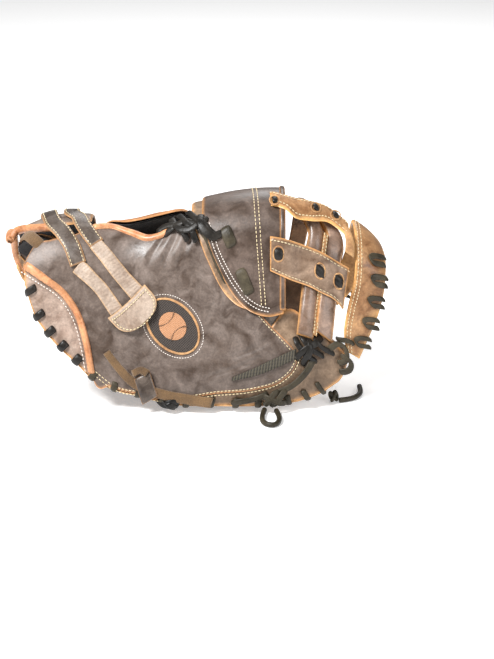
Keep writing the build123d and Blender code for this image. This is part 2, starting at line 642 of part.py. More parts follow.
RIM_LACE_SPOTS = ((143, 56), (150, 72), (155, 90), (157.5, 108), (157, 126))
parts["rim_lace_finger"] = laced(
    [on_back((x - 7, h + 1.5), (x + 4, h - 1)) for x, h in RIM_LACE_SPOTS],
    LACE_WIDTH, 0.5 + RIM_THICK + 0.3, 0.5 + RIM_THICK + 2.3,
)
RIM_LACE_SPOTS_THUMB = ((130, 66), (138, 82), (143.5, 100))
parts["rim_lace_thumb"] = laced(
    [at_side((x - 6, z + 1.5), (x + 4, z - 1)) for x, z in RIM_LACE_SPOTS_THUMB],
    LACE_WIDTH, 0.5 + RIM_THICK + 0.3, 0.5 + RIM_THICK + 2.3,
)
POST_TOP = BASE_UNDER + 2.6 + POST_THICK
POST_LACE_SPOTS = {"lower": ((69, 131), (104, 117.3), (119, 109)), "upper": ((66, 176.5), (101.4, 169.5), (117, 163))}
parts["post_laces"] = Compound(
    [
        strap(on_back((x - 3.5, h + 1), (x + 3.5, h - 1)), LACE_WIDTH, steady(POST_TOP + 0.3), steady(POST_TOP + 1.8), 4)
        for spots in POST_LACE_SPOTS.values()
        for x, h in spots
    ]
)
parts["crotch_lace"] = laced(
    [on_back((-25, 158), (-15, 152.5), (-9, 146)), on_back((-12, 163), (-5, 157.5), (-2, 152))],
    LACE_WIDTH, 5.6, 7.8,
)
parts["web_foot_lace"] = laced(
    [on_back((85, 52), (95, 44)), on_back((92, 57), (104, 48)), on_back((103, 57), (112, 50))],
    LACE_WIDTH, 2.9, 5.1,
)
parts["tip_lace"] = laced(
    [on_back((116, 52), (124, 58)), on_back((120, 43), (130, 50)), on_back((121, 35), (133, 43))],
    LACE_WIDTH, 5.2, 7.2,
)
parts["foot_lace_run"] = laced(
    [on_back((98, 41), (91, 30), (80, 20), (69, 15)), on_back((58, 13), (46, 8.5), (34, 6.5))], LACE_WIDTH, 3.1, 5.3
)
parts["wedge_inset"] = strap_between(
    on_back((84, 52), (68, 45), (50, 36.5), (30, 28)), on_back((85, 44), (70, 37), (52, 30), (30, 25)),
    steady(HOOK_UNDER), steady(HOOK_UNDER + 1.6), 9,
)
parts["lace_fold"] = strap_between(
    on_back((58, 15), (66, 16), (75, 16)), on_back((58, 4), (66, 4), (75, 6)), steady(5.7), steady(8.1), 6
)

# --- The adjusting strap of suede, held by its keeper ------------------------------------------------
parts["suede_strap"] = strap(
    on_back((-76, 49), (-66, 36), (-55.5, 25), (-43, 18), (-28, 13.5), (-12, 10.5), (4, 8), (13, 7)),
    9.5, steady(HOOK_UNDER + 0.4), steady(HOOK_UNDER + 2.4), 14,
)
parts["strap_keeper"] = strap(
    on_back((-46, 30), (-43.5, 22), (-40.5, 13), (-39, 9)), 14, steady(HOOK_UNDER + 2.9), steady(HOOK_UNDER + 4.9), 7
)
parts["keeper_loop"] = strap(
    on_back((-54, 31), (-47, 34), (-41, 31.5)), 6, steady(HOOK_UNDER + 5.3), steady(HOOK_UNDER + 7.3), 6
)

# --- The bands' far halves, over the thumb side --------------------------------------------------------
for band, (near_x, far_x) in {"wrist": (-128, -134), "knuckle": (-108, -112)}.items():
    path = [(near_x, 0.0), *at_side(((near_x + far_x) / 2, 136), (far_x, 118), (far_x - 2, 98))]
    start = float(past_fold(np.array([near_x]), flat(9.0))[0])
    path[0] = (near_x, start)
    parts[f"strap_band_{band}_thumb"] = strap(
        path, BAND_WIDTH, steady(HOOK_UNDER + LEATHER + 0.4), steady(HOOK_UNDER + LEATHER * 2 + 0.4), 9
    )

# --- Free laces: a loop at the foot, and a tail that leaves the knot at the tip --------------------------
LACE_RADIUS = 2.3
LOOP_ROUTE = ((57.5, -74), (54.5, -90), (57, -105), (67, -108), (71, -92), (67.5, -76))
TAIL_ROUTE = ((122, -52.5), (131.5, -50), (139, -42), (142, -31), (141, -20))


def free_lace(route):
    """A round lace on the floor along straight runs joined by arcs, and its length."""
    points = [Vector(x, y, LACE_RADIUS + 0.1) for x, y in route]
    radii = []
    for before, corner, after in zip(points, points[1:], points[2:]):
        turn = math.radians((corner - before).get_angle(after - corner))
        shorter = min((corner - before).length, (after - corner).length)
        radii.append(0.45 * shorter / math.tan(turn / 2))
    path = FilletPolyline(*points, radius=radii)
    start = Plane(origin=path @ 0, z_dir=path % 0)
    tube = sweep(start * Circle(LACE_RADIUS), path=path)
    print("free lace", round(path.length, 1), "radii", [round(r, 1) for r in radii])
    print("volume ratio", round(tube.volume / (math.pi * LACE_RADIUS**2 * path.length), 4))
    return tube


loose = {"lace_loop": free_lace(LOOP_ROUTE), "lace_tail": free_lace(TAIL_ROUTE)}
knot_centre = Vector(117, -51, 5.6)
parts["tip_knot"] = Pos(*knot_centre) * Box(8.5, 8, 10.6)

# --- Stand the mitt on the floor, centred on the origin, and write it -----------------------------------
whole = Compound([*parts.values()]).bounding_box()
to_origin = Pos(-(whole.min.X + whole.max.X) / 2, -(whole.min.Y + whole.max.Y) / 2, -whole.min.Z)
print("moved by", to_origin.position, "size", whole.size)
for name, shape in {**parts, **loose}.items():
    export_step(to_origin * shape, f"parts/{name}.step")
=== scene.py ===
import math

import bpy
import numpy as np
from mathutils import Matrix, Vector


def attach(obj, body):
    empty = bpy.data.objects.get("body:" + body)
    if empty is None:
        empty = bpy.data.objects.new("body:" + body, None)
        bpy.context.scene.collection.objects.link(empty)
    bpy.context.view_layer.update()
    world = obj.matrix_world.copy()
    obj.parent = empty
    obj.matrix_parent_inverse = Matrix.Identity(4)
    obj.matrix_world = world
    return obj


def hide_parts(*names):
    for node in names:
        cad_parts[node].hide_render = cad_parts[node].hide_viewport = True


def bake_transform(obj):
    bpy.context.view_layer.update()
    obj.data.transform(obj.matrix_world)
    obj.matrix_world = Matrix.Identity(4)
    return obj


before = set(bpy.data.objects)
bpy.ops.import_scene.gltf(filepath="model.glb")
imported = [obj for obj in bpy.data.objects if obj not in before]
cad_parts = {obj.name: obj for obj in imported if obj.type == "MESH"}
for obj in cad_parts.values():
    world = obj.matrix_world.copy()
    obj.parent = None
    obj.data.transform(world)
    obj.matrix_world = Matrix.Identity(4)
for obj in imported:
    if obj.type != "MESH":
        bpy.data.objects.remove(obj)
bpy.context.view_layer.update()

# --- The mitt's back ------------------------------------------------------------------------------
# The mitt is folded over a ridge and stands on its two laced edges. A place on its back is (x, s) in
# millimetres, s round the back from the ridge, negative on the finger side; d is the height above it.


def curve(*points):
    """Hermite curve through (x, value) points with central slopes, held level past its ends."""
    xs, ys = np.array(points, float).T
    slopes = np.gradient(ys, xs)

    def value(x):
        x = np.clip(x, xs[0], xs[-1])
        i = np.clip(np.searchsorted(xs, x, side="right") - 1, 0, len(xs) - 2)
        step = xs[i + 1] - xs[i]
        t = (x - xs[i]) / step
        start = ys[i] * (1 + 2 * t) * (1 - t) ** 2 + slopes[i] * step * t * (1 - t) ** 2
        end = ys[i + 1] * t * t * (3 - 2 * t) + slopes[i + 1] * step * t * t * (t - 1)
        return start + end

    return value


def ease(t):
    """Smoothstep, 3t^2 - 2t^3."""
    t = np.clip(t, 0, 1)
    return t * t * (3 - 2 * t)


ridge_top = curve(
    (-165, 131), (-150, 138), (-127, 147), (-95, 149), (-60, 144.5), (-30, 151), (0, 158),
    (35, 165.5), (75, 167.5), (95, 164.5), (118, 151), (143, 137), (163, 119),
)
ridge_radius = curve((-165, 47), (-95, 44), (-30, 40), (35, 38), (95, 37), (143, 33), (163, 30))
finger_lean = curve((-165, 9), (-100, 12), (0, 14), (80, 13), (163, 7))
thumb_lean = curve((-165, 4), (-90, 6), (0, 9), (80, 8), (163, 2))
finger_bulge = curve((-165, 4), (-60, 8), (60, 9), (163, 5))
thumb_bulge = curve((-165, 4), (-60, 7), (60, 8), (163, 4))
to_origin = np.array([-0.467677, 5.8745, 0.064868])  # the CAD model's move to its origin, mm
leaf_length = 150  # mm of leaf that swells
core_above_floor, core_below_ridge = 35, 60  # ends of the line inside the mitt, mm


def back_line(x, s):
    """y, z: an arc over the ridge, then a leaning leaf with a swell of 6.75 u^2 (1 - u), u its share."""
    lean = np.radians(np.where(s < 0, finger_lean(x), thumb_lean(x)))
    swell = np.where(s < 0, finger_bulge(x), thumb_bulge(x))
    radius = ridge_radius(x)
    turn = np.minimum(np.abs(s) / radius, math.pi / 2 - lean)
    run = np.maximum(np.abs(s) - radius * (math.pi / 2 - lean), 0)
    share = run / leaf_length
    swell = swell * 6.75 * share**2 * (1 - share)
    out = radius * np.sin(turn) + run * np.sin(lean) + swell * np.cos(lean)
    z = ridge_top(x) - radius * (1 - np.cos(turn)) - run * np.cos(lean) + swell * np.sin(lean)
    return np.where(s < 0, -out, out), z


def on_form(x, s, d=0.0):
    """(x, s, d) in mm to metres: d > 0 along the normal, d < 0 towards the line inside the mitt."""
    x, s, d = np.broadcast_arrays(np.asarray(x, float), s, d)
    y, z = back_line(x, s)
    y1, z1 = back_line(x, s + 0.25)
    y0, z0 = back_line(x, s - 0.25)
    length = np.hypot(y1 - y0, z1 - z0)
    core = np.clip(z, core_above_floor, ridge_top(x) - core_below_ridge)
    reach = np.maximum(np.hypot(y, core - z), 1e-6)
    up_y = np.where(d > 0, -(z1 - z0) / length, y / reach)
    up_z = np.where(d > 0, (y1 - y0) / length, (z - core) / reach)
    return (np.stack([x, y + d * up_y, z + d * up_z], axis=-1) + to_origin) / 1000


def solve(rule, low, high):
    """Bisection for the s where an increasing rule is zero."""
    for _ in range(34):
        middle = (low + high) / 2
        above = rule(middle) > 0
        low, high = np.where(above, low, middle), np.where(above, middle, high)
    return (low + high) / 2


plane_lean = math.radians(20)
plane_foot = 22.9  # mm
leaf_reach = 205.0  # mm, longer than any leaf


def finger_s(x, h, d=0.0):
    """The finger side's s at height h up a plane that leans back 20 degrees: z cos + y sin + foot = h."""
    x, h = np.broadcast_arrays(np.asarray(x, float), h)

    def past(s):
        p = on_form(x, s, d) * 1000 - to_origin
        return p[..., 2] * math.cos(plane_lean) + p[..., 1] * math.sin(plane_lean) + plane_foot - h

    return solve(past, np.full(x.shape, -leaf_reach), ridge_radius(x) * plane_lean)


def thumb_s(x, z):
    """The thumb side's s at level z above the floor."""
    x, z = np.broadcast_arrays(np.asarray(x, float), z)
    return solve(lambda s: z - back_line(x, s)[1], np.zeros(x.shape), np.full(x.shape, leaf_reach))


def table(rule, value):
    """A curve of s against x, from a rule and its height curve."""
    xs = np.linspace(-165, 165, 83)
    return curve(*zip(xs, rule(xs, value(xs))))


finger_edge = table(finger_s, curve(
    (-146, 112), (-138, 84), (-128, 67), (-115, 52), (-101, 39), (-89, 27), (-72, 18), (-47, 11.5),
    (-28, 6), (16, 3.6), (50, 3.6), (72, 5), (94, 10), (114, 20), (125, 31), (129, 42),
))
thumb_edge = table(thumb_s, curve(
    (-164, 103), (-158, 84), (-150, 74), (-135, 55), (-120, 38), (-100, 23), (-70, 10.5), (-40, 5),
    (0, 3.4), (40, 3.6), (65, 7), (85, 15), (98, 28), (106, 44), (110, 58),
))
finger_web = table(finger_s, curve(
    (-5, 158), (20, 128), (50, 98), (75, 84), (100, 69), (116, 57), (125, 49), (129, 44)
))
thumb_web = table(thumb_s, curve(
    (-5, 146), (20, 122), (50, 102), (75, 88), (95, 76), (106, 68), (110, 62)
))
edge_thickness = 6.6  # mm of leathers and felt squeezed together at the laced edge
edge_band = 32  # mm over which a leaf grows from that to its full thickness
crotch_x = -5
leaf_thickness = curve((-165, 34), (-100, 39), (-50, 37), (0, 30), (50, 20), (100, 13), (128, 8))
hand_room = curve((-165, 23), (-100, 24), (-50, 21), (0, 12), (40, 4), (62, 0))


def inside_edge(x, s):
    """Distance in mm from the laced edge or, past the crotch, from the web's edge."""
    edge = np.where(s < 0, finger_edge(x), thumb_edge(x))
    web = np.where(s < 0, finger_web(x), thumb_web(x))
    opens = ease((x - crotch_x) / 30)
    from_web = edge_band * (1 - opens) + (np.abs(s) - np.abs(web)) * opens
    return np.maximum(np.minimum(np.abs(edge) - np.abs(s), from_web), 0)


def leaf_depth(x, s):
    """A leaf's thickness in mm: the edge's, easing to the full one over the edge band."""
    return edge_thickness + (leaf_thickness(x) - edge_thickness) * ease(inside_edge(x, s) / edge_band)


def waviness(x, s, size=1.0, seed=0.0):
    """Soft unevenness of hand-worn leather in mm: a sum of crossed sines of 25 to 90 mm."""
    a = np.sin(
        x / 23 + 1.3 * np.sin(s / 31 + seed) + seed
    ) * np.sin(s / 27 + 0.8 * np.sin(x / 37) + 2 * seed)
    b = np.sin(x / 9.5 + s / 13 + 3 * seed) * np.sin(s / 17 - x / 21 + seed)
    return size * (0.55 * a + 0.2 * b)


def crease(x, s, start, end, width, depth):
    """A valley of the given depth along a segment in (x, s), gaussian across it, fading at its ends."""
    a, b = np.array(start, float), np.array(end, float)
    along, length = (b - a) / np.linalg.norm(b - a), np.linalg.norm(b - a)
    u = (x - a[0]) * along[0] + (s - a[1]) * along[1]
    v = (x - a[0]) * along[1] - (s - a[1]) * along[0] + 1.2 * np.sin(u / 7)
    fade = ease(u / (0.3 * length)) * ease((length - u) / (0.3 * length))
    return depth * fade * (np.exp(-((v / width) ** 2)) - 0.45 * np.exp(-(((v - 1.8 * width) / width) ** 2)))

# --- Finger side's back panel ---------------------------------------------------------------------
# The big dressed-leather panel over the fingers, 2.4 mm thick, stitched down along its right and
# lower edge and bound at the heel. Oiled grey-brown leather, mottled and creased towards the crotch.


def add_mesh(name, vertices, faces, uv, wear):
    """A mesh object at the origin with a UV map in metres and a 'wear' point attribute."""
    mesh = bpy.data.meshes.new(name)
    mesh.from_pydata(np.asarray(vertices).tolist(), [], np.asarray(faces).tolist())
    layer = mesh.uv_layers.new(name="metres")
    corner = np.empty(len(mesh.loops), dtype=np.int32)
    mesh.loops.foreach_get("vertex_index", corner)
    layer.data.foreach_set("uv", np.asarray(uv, np.float32)[corner].ravel())
    attribute = mesh.attributes.new("wear", "FLOAT", "POINT")
    attribute.data.foreach_set("value", np.asarray(wear, np.float32))
    mesh.polygons.foreach_set("use_smooth", np.ones(len(mesh.polygons), dtype=bool))
    mesh.update()
    obj = bpy.data.objects.new(name, mesh)
    bpy.context.scene.collection.objects.link(obj)
    return obj


def face_outward(obj):
    """Turns a closed mesh inside out if its signed volume is negative."""
    mesh = obj.data
    mesh.calc_loop_triangles()
    v = np.array([p.co for p in mesh.vertices])
    t = np.array([tri.vertices for tri in mesh.loop_triangles])
    if np.einsum("ij,ij->i", v[t[:, 0]], np.cross(v[t[:, 1]], v[t[:, 2]])).sum() < 0:
        mesh.flip_normals()
    return obj


def tube_mesh(name, rings, uv, wear):
    """Closed skins over rings of points, shape (tubes, rings, points, 3), each end closed by quads."""
    rings, uv, wear = (a if a.ndim == d else a[None] for a, d in ((rings, 4), (uv, 4), (wear, 3)))
    tubes, n, m = rings.shape[:3]
    k, i, j = np.meshgrid(np.arange(tubes) * n * m, np.arange(n - 1) * m, np.arange(m), indexing="ij")
    after = (j + 1) % m
    quads = np.stack([k + i + j, k + i + after, k + i + m + after, k + i + m + j], axis=-1).reshape(-1, 4)
    k, a = np.meshgrid(np.arange(tubes) * n * m, np.arange(m // 2 - 1), indexing="ij")
    cap = np.stack([k + m - 1 - a, k + m - 2 - a, k + a + 1, k + a], axis=-1).reshape(-1, 4)
    far_cap = cap[:, ::-1] + (n - 1) * m
    faces = np.concatenate([quads, cap, far_cap])
    return face_outward(add_mesh(name, rings.reshape(-1, 3), faces, uv.reshape(-1, 2), wear.ravel()))


def panel(name, low, high, first, last, under, over, step=2.2, bevel=0.9):
    """A leather between s = first(x) and last(x) from x = low to high, with rounded cut edges."""
    columns = int(max(6, (high - low) / step))
    t = np.linspace(0, 1, columns)[:, None]
    x = low + (high - low) * t
    s0, s1 = first(x), last(x)
    rows = int(max(5, np.abs(s1 - s0).max() / step))
    share = np.concatenate([[0], np.linspace(0, 1, rows + 1), [1]])[None, :]
    s = s0 + (s1 - s0) * share
    rim_s = np.minimum(share, 1 - share) * np.abs(s1 - s0)
    rim_x = np.minimum(t, 1 - t) * (high - low)
    rim = np.minimum(rim_s, rim_x + 0 * share)
    top = over(x, s) - bevel * np.exp(-rim / 0.8)
    low_d = under(x, s)
    grids = np.concatenate([on_form(x, s, top), on_form(x, s, low_d)[:, ::-1]], axis=1)
    uv = np.concatenate(
        [np.stack([x + 0 * s, s], -1), np.stack([x + 0 * s, s], -1)[:, ::-1]], axis=1
    ) / 1000
    worn = np.exp(-rim / 2.2)
    wear = np.concatenate([worn, np.maximum(worn, 0.35)[:, ::-1]], axis=1)
    return tube_mesh(name, grids, uv, wear)


def flat(depth):
    """The same depth everywhere."""
    return lambda x, s: depth + 0 * x * s


def at(height, rule):
    """A limit s(x) from a height curve."""
    return lambda x: rule(x, height(x))


def new_group(name, inputs, outputs):
    """An empty shader node group with its input and output nodes."""
    group = bpy.data.node_groups.new(name, "ShaderNodeTree")
    for label, kind, value in inputs:
        socket = group.interface.new_socket(label, in_out="INPUT", socket_type=kind)
        socket.default_value = value
    for label, kind in outputs:
        group.interface.new_socket(label, in_out="OUTPUT", socket_type=kind)
    return group, group.nodes.new("NodeGroupInput"), group.nodes.new("NodeGroupOutput")


def node(tree, kind, values=(), links=(), **settings):
    """A node with settings, input values by name or index, and links into its inputs."""
    made = tree.nodes.new(kind)
    for key, value in settings.items():
        setattr(made, key, value)
    for key, value in dict(values).items():
        made.inputs[key].default_value = value
    for key, source in dict(links).items():
        tree.links.new(source, made.inputs[key])
    return made


def grain_group():
    """Pebbled grain: smooth cells of about 1 mm, finer pores and long soft creases, as a height."""
    group, _, out = new_group(
        "leather_grain", [], [("Height", "NodeSocketFloat"), ("Pores", "NodeSocketFloat")]
    )
    place = node(group, "ShaderNodeTexCoord").outputs["Object"]
    cells = node(
        group, "ShaderNodeTexVoronoi", {"Scale": 620.0, "Smoothness": 0.6}, {"Vector": place},
        feature="SMOOTH_F1",
    )
    pores = node(group, "ShaderNodeTexVoronoi", {"Scale": 1500.0}, {"Vector": place}, feature="F1")
    folds = node(
        group, "ShaderNodeTexNoise", {"Scale": 95.0, "Detail": 6.0, "Roughness": 0.62, "Distortion": 1.2},
        {"Vector": place},
    )
    fold_lines = node(group, "ShaderNodeMath", {1: 0.5}, {0: folds.outputs["Fac"]}, operation="SUBTRACT")
    fold_lines = node(group, "ShaderNodeMath", {}, {0: fold_lines.outputs[0]}, operation="ABSOLUTE")
    height = node(group, "ShaderNodeMath", {1: 0.2}, {0: cells.outputs["Distance"]}, operation="MULTIPLY")
    for share, relief in ((0.12, pores.outputs["Distance"]), (1.5, fold_lines.outputs[0])):
        links = {0: relief, 2: height.outputs[0]}
        height = node(group, "ShaderNodeMath", {1: share}, links, operation="MULTIPLY_ADD")
    group.links.new(height.outputs[0], out.inputs["Height"])
    group.links.new(pores.outputs["Distance"], out.inputs["Pores"])
    return group


def mottle_group():
    """Colour unevenness of oiled leather, each 0 to 1, and a painted-shade mask that is 1 at the floor and
    fades out 110 mm up, broken up by the patches.
    """
    outputs = [(label, "NodeSocketFloat") for label in ("Patches", "Smears", "Specks", "FloorShade")]
    group, _, out = new_group("leather_mottle", [], outputs)
    place = node(group, "ShaderNodeTexCoord").outputs["Object"]
    for label, scale, detail, warp in (
        ("Patches", 19.0, 5.0, 0.3), ("Smears", 64.0, 9.0, 0.7), ("Specks", 520.0, 4.0, 0.0)
    ):
        values = {"Scale": scale, "Detail": detail, "Roughness": 0.55, "Distortion": warp}
        noise = node(group, "ShaderNodeTexNoise", values, {"Vector": place})
        spread = node(
            group, "ShaderNodeMapRange", {"From Min": 0.34, "From Max": 0.66},
            {"Value": noise.outputs["Fac"]},
        )
        group.links.new(spread.outputs[0], out.inputs[label])
        if label == "Patches":
            patches = spread
    # Painted shade mask: 1 at the floor, 0 from 110 mm up, times 0.45 to 1 of the patches.
    height = node(group, "ShaderNodeSeparateXYZ", {}, {"Vector": place})
    low = node(
        group, "ShaderNodeMapRange", {"From Min": 0.11, "From Max": 0.0}, {"Value": height.outputs["Z"]}
    )
    loose = node(
        group, "ShaderNodeMapRange", {"To Min": 0.45, "To Max": 1.0}, {"Value": patches.outputs[0]}
    )
    ground = node(
        group, "ShaderNodeMath", {}, {0: low.outputs[0], 1: loose.outputs[0]}, operation="MULTIPLY"
    )
    group.links.new(ground.outputs[0], out.inputs["FloorShade"])
    return group


grain, mottle = grain_group(), mottle_group()


def new_material(name):
    """A material, its node tree and its Principled shader."""
    material = bpy.data.materials.new(name)
    material.use_nodes = True
    return material, material.node_tree, material.node_tree.nodes["Principled BSDF"]


def two_tones(tree, shader, dark, light, share):
    """Base Color between two tones."""
    tones = {"A": (*dark, 1), "B": (*light, 1)}
    mix = node(tree, "ShaderNodeMix", tones, {"Factor": share}, data_type="RGBA")
    tree.links.new(mix.outputs["Result"], shader.inputs["Base Color"])


def raised(tree, shader, strength, distance, height):
    """A Bump node on Normal, its distance in metres."""
    bump = node(tree, "ShaderNodeBump", {"Strength": strength, "Distance": distance}, {"Height": height})
    tree.links.new(bump.outputs[0], shader.inputs["Normal"])


def leather(name, dark, mid, light, raw, roughness=0.42, bump=0.3, worn=0.2, raw_edge=1.0, dirt_and_floor_shade=0.55):
    """Dressed leather: mottled tones, raw colour at rubbed edges, painted shade and highlight by the
    grain's relief, and painted shade near the floor (last argument).
    """
    material, tree, shader = new_material(name)
    tones = node(tree, "ShaderNodeGroup", node_tree=mottle)
    relief = node(tree, "ShaderNodeGroup", node_tree=grain)
    wear = node(tree, "ShaderNodeAttribute", attribute_name="wear")

    def mixed(factor, a, b):
        """Colour a to b by a factor; each is a socket or three numbers."""
        made = node(tree, "ShaderNodeMix", {}, {"Factor": factor}, data_type="RGBA")
        for socket, value in ((made.inputs["A"], a), (made.inputs["B"], b)):
            if isinstance(value, tuple):
                socket.default_value = (*value, 1)
            else:
                tree.links.new(value, socket)
        return made.outputs["Result"]

    share = node(tree, "ShaderNodeMath", {1: 0.85}, {0: tones.outputs["Smears"]}, operation="MULTIPLY")
    body = mixed(share.outputs[0], mixed(tones.outputs["Patches"], dark, mid), light)
    # Painted shade near the floor: the colour darkens towards 0.6 of the dark tone, by the mask times the
    # last argument.
    floor_shade = node(tree, "ShaderNodeMath", {1: dirt_and_floor_shade}, {0: tones.outputs["FloorShade"]}, operation="MULTIPLY")
    body = mixed(floor_shade.outputs[0], body, tuple(0.6 * value for value in dark))
    rub = node(tree, "ShaderNodeMath", {1: raw_edge}, {0: wear.outputs["Fac"]}, operation="MULTIPLY")
    rub = node(
        tree, "ShaderNodeMath", {1: worn}, {0: tones.outputs["Smears"], 2: rub.outputs[0]},
        operation="MULTIPLY_ADD",
    )
    rub = node(tree, "ShaderNodeMapRange", {"From Min": 0.3, "From Max": 1.0}, {"Value": rub.outputs[0]})
    colour = mixed(rub.outputs[0], body, raw)
    speck = node(
        tree, "ShaderNodeMapRange", {"To Min": 0.86, "To Max": 1.1}, {"Value": tones.outputs["Specks"]}
    )
    # Painted shade and highlight: the colour is darker (to 0.74) where the grain's relief is low, in its
    # valleys and fold lines, and lighter (to 1.18) where it is high, from the same height as the bump. The
    # specks are random tone.
    relief_shade_and_highlight = node(
        tree, "ShaderNodeMapRange", {"From Max": 0.5, "To Min": 0.74, "To Max": 1.18},
        {"Value": relief.outputs["Height"]},
    )
    shade = node(
        tree, "ShaderNodeMath", {}, {0: speck.outputs[0], 1: relief_shade_and_highlight.outputs[0]}, operation="MULTIPLY"
    )
    final = node(tree, "ShaderNodeVectorMath", {}, {0: colour, 1: shade.outputs[0]}, operation="MULTIPLY")
    tree.links.new(final.outputs[0], shader.inputs["Base Color"])
    limits = {"To Min": roughness - 0.08, "To Max": roughness + 0.12}
    gloss = node(tree, "ShaderNodeMapRange", limits, {"Value": tones.outputs["Smears"]})
    tree.links.new(gloss.outputs[0], shader.inputs["Roughness"])
    raised(tree, shader, bump, 0.0006, relief.outputs["Height"])
    shader.inputs["Specular IOR Level"].default_value = 0.35
    return material


back_leather = leather(
    "back_leather", (0.031, 0.018, 0.012), (0.094, 0.067, 0.052), (0.198, 0.155, 0.132), (0.5, 0.24, 0.1),
    roughness=0.36, bump=0.3, worn=0.06, raw_edge=1.0, dirt_and_floor_shade=0.4,
)


def dress(obj, material, slot, body, *nodes, fold=False):
    """Gives a piece its material; a folded piece gets its transform baked and no body, any other piece its
    body; hides the CAD nodes that it replaces. The slot argument is not used.
    """
    obj.data.materials.clear()
    obj.data.materials.append(material)
    if fold:
        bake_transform(obj)
    elif body:
        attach(obj, body)
    if nodes:
        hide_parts(*nodes)
    return obj


panel_low = curve(
    (-146, 119.5), (-127, 108), (-111, 95), (-100, 78), (-94, 56), (-89, 31), (-72, 19.5),
    (-47, 13), (-28, 8), (-8, 10), (16, 14), (50, 17.5), (74, 26), (83, 36), (85.5, 43),
)
panel_high = curve(
    (-146, 122), (-138, 137), (-123, 143), (-105, 147), (-86, 155), (-72, 156), (-56, 150.5),
    (-39, 146), (-30, 148.5), (-20, 155), (-8, 157), (5, 147), (25, 120), (45, 93), (60, 74),
    (72, 62), (83, 50), (85.5, 46),
)
crotch_creases = [
    ((-14, -22), (-30, -62), 2.6, 1.5), ((-22, -18), (-44, -58), 2.4, 1.1),
    ((-6, -26), (-16, -70), 3.0, 1.2), ((-2, -40), (2, -84), 3.4, 0.9), ((20, -150), (70, -128), 2.6, 0.9),
    ((0, -160), (60, -146), 2.0, 0.8), ((-60, -104), (-20, -124), 3.5, 0.6),
    ((36, -112), (66, -104), 2.4, 0.7),
]


def finger_panel_top(x, s):
    """2.4 mm, wavy, less the creases, and never under 1.2 mm."""
    top = 2.4 + waviness(x, s, size=0.7)
    for place in crotch_creases:
        top = top - crease(x, s, *place)
    return np.maximum(top, 1.2)


finger_back = panel(
    "finger_back_panel_leather", -146, 85.5, at(panel_low, finger_s), at(panel_high, finger_s), flat(0.3),
    finger_panel_top, step=1.7,
)
dress(finger_back, back_leather, "back_leather", "finger_side", "finger_back_panel")

# --- The leathers at the laced edges --------------------------------------------------------------
# Heel, fingertip and thumb are covered by narrower leathers under the panels, 2 mm thick, rubbed
# lighter than the panels because they touch the ground and the bag.

edge_leather = leather(
    "edge_leather", (0.072, 0.041, 0.023), (0.182, 0.12, 0.074), (0.338, 0.232, 0.152), (0.55, 0.28, 0.11),
    roughness=0.4, bump=0.3, worn=0.3, raw_edge=1.0, dirt_and_floor_shade=0.5,
)
heel_high = curve((-146, 124), (-127, 116), (-111, 103), (-100, 86), (-94, 64), (-82, 34))
heel = panel(
    "heel_leather", -145.5, -82, finger_edge, at(heel_high, finger_s), flat(-2),
    lambda x, s: waviness(x, s, size=0.4, seed=2.0),
)
heel_leather = leather(
    "heel_leather", (0.138, 0.089, 0.063), (0.276, 0.194, 0.152), (0.425, 0.324, 0.263), (0.55, 0.28, 0.11),
    roughness=0.4, bump=0.3, worn=0.2, raw_edge=1.0, dirt_and_floor_shade=0.3,
)
dress(heel, heel_leather, "back_leather", "finger_side", "heel_shell_finger")
tip_high = curve(
    (-89, 36), (-60, 22), (-5, 20), (20, 26), (45, 40), (62, 68), (75, 84), (100, 69), (116, 57), (128, 45)
)
tip = panel(
    "fingertip_leather", -89, 128, finger_edge, at(tip_high, finger_s), flat(-2),
    lambda x, s: 0.2 + waviness(x, s, size=0.5, seed=1.0),
)
dress(tip, edge_leather, "back_leather", "finger_side", "fingertip_shell")
thumb_shell_high = curve(
    (-162, 108), (-157, 100), (-140, 80), (-115, 56), (-90, 33), (-60, 24), (-20, 23), (20, 34),
    (45, 60), (62, 88), (75, 86), (95, 74), (108, 62),
)
thumb_shell = panel(
    "thumb_edge_leather", -162, 109, at(thumb_shell_high, thumb_s), thumb_edge, flat(-2),
    lambda x, s: waviness(x, s, size=0.4, seed=3.0),
)
dress(thumb_shell, edge_leather, "back_leather", "thumb_side", "thumb_shell")
thumb_high = curve(
    (-162, 112), (-157, 118), (-90, 120), (-82, 134), (-60, 141), (-35, 147), (-12, 150), (0, 140),
    (20, 124), (45, 104), (62, 92), (74, 78),
)
thumb_low = curve(
    (-162, 104), (-157, 92), (-140, 72), (-115, 48), (-90, 24), (-60, 14), (-20, 13), (30, 20),
    (55, 32), (68, 50), (74, 66),
)
thumb_back = panel(
    "thumb_back_panel_leather", -162, 74, at(thumb_high, thumb_s), at(thumb_low, thumb_s), flat(0.3),
    lambda x, s: 2.4 + waviness(x, s, size=0.8, seed=4.0), step=1.9,
)
dress(thumb_back, back_leather, "back_leather", "thumb_side", "thumb_back_panel")

# --- Palm leather, felt pads and cloth linings ----------------------------------------------------
# The palm is one darker leather over thick felt. It runs across the fold, and past the crotch each
# leaf has its own. The room for the hand lies between the felt and the dark cloth under the backs.

palm_leather = leather(
    "palm_leather", (0.02, 0.011, 0.007), (0.052, 0.029, 0.018), (0.096, 0.056, 0.036), (0.42, 0.22, 0.1),
    roughness=0.38, bump=0.3, worn=0.15, raw_edge=1.0, dirt_and_floor_shade=0.3,
)


def palm_under(x, s):
    """The palm's outer face: 0.4 mm outside the leaf's depth, wavy."""
    return -leaf_depth(x, s) - 0.4 + waviness(x, s, size=0.5, seed=5.0)


def palm_over(x, s):
    """The palm's inner face, 2 mm inside the leaf's depth."""
    return -leaf_depth(x, s) + 2.0


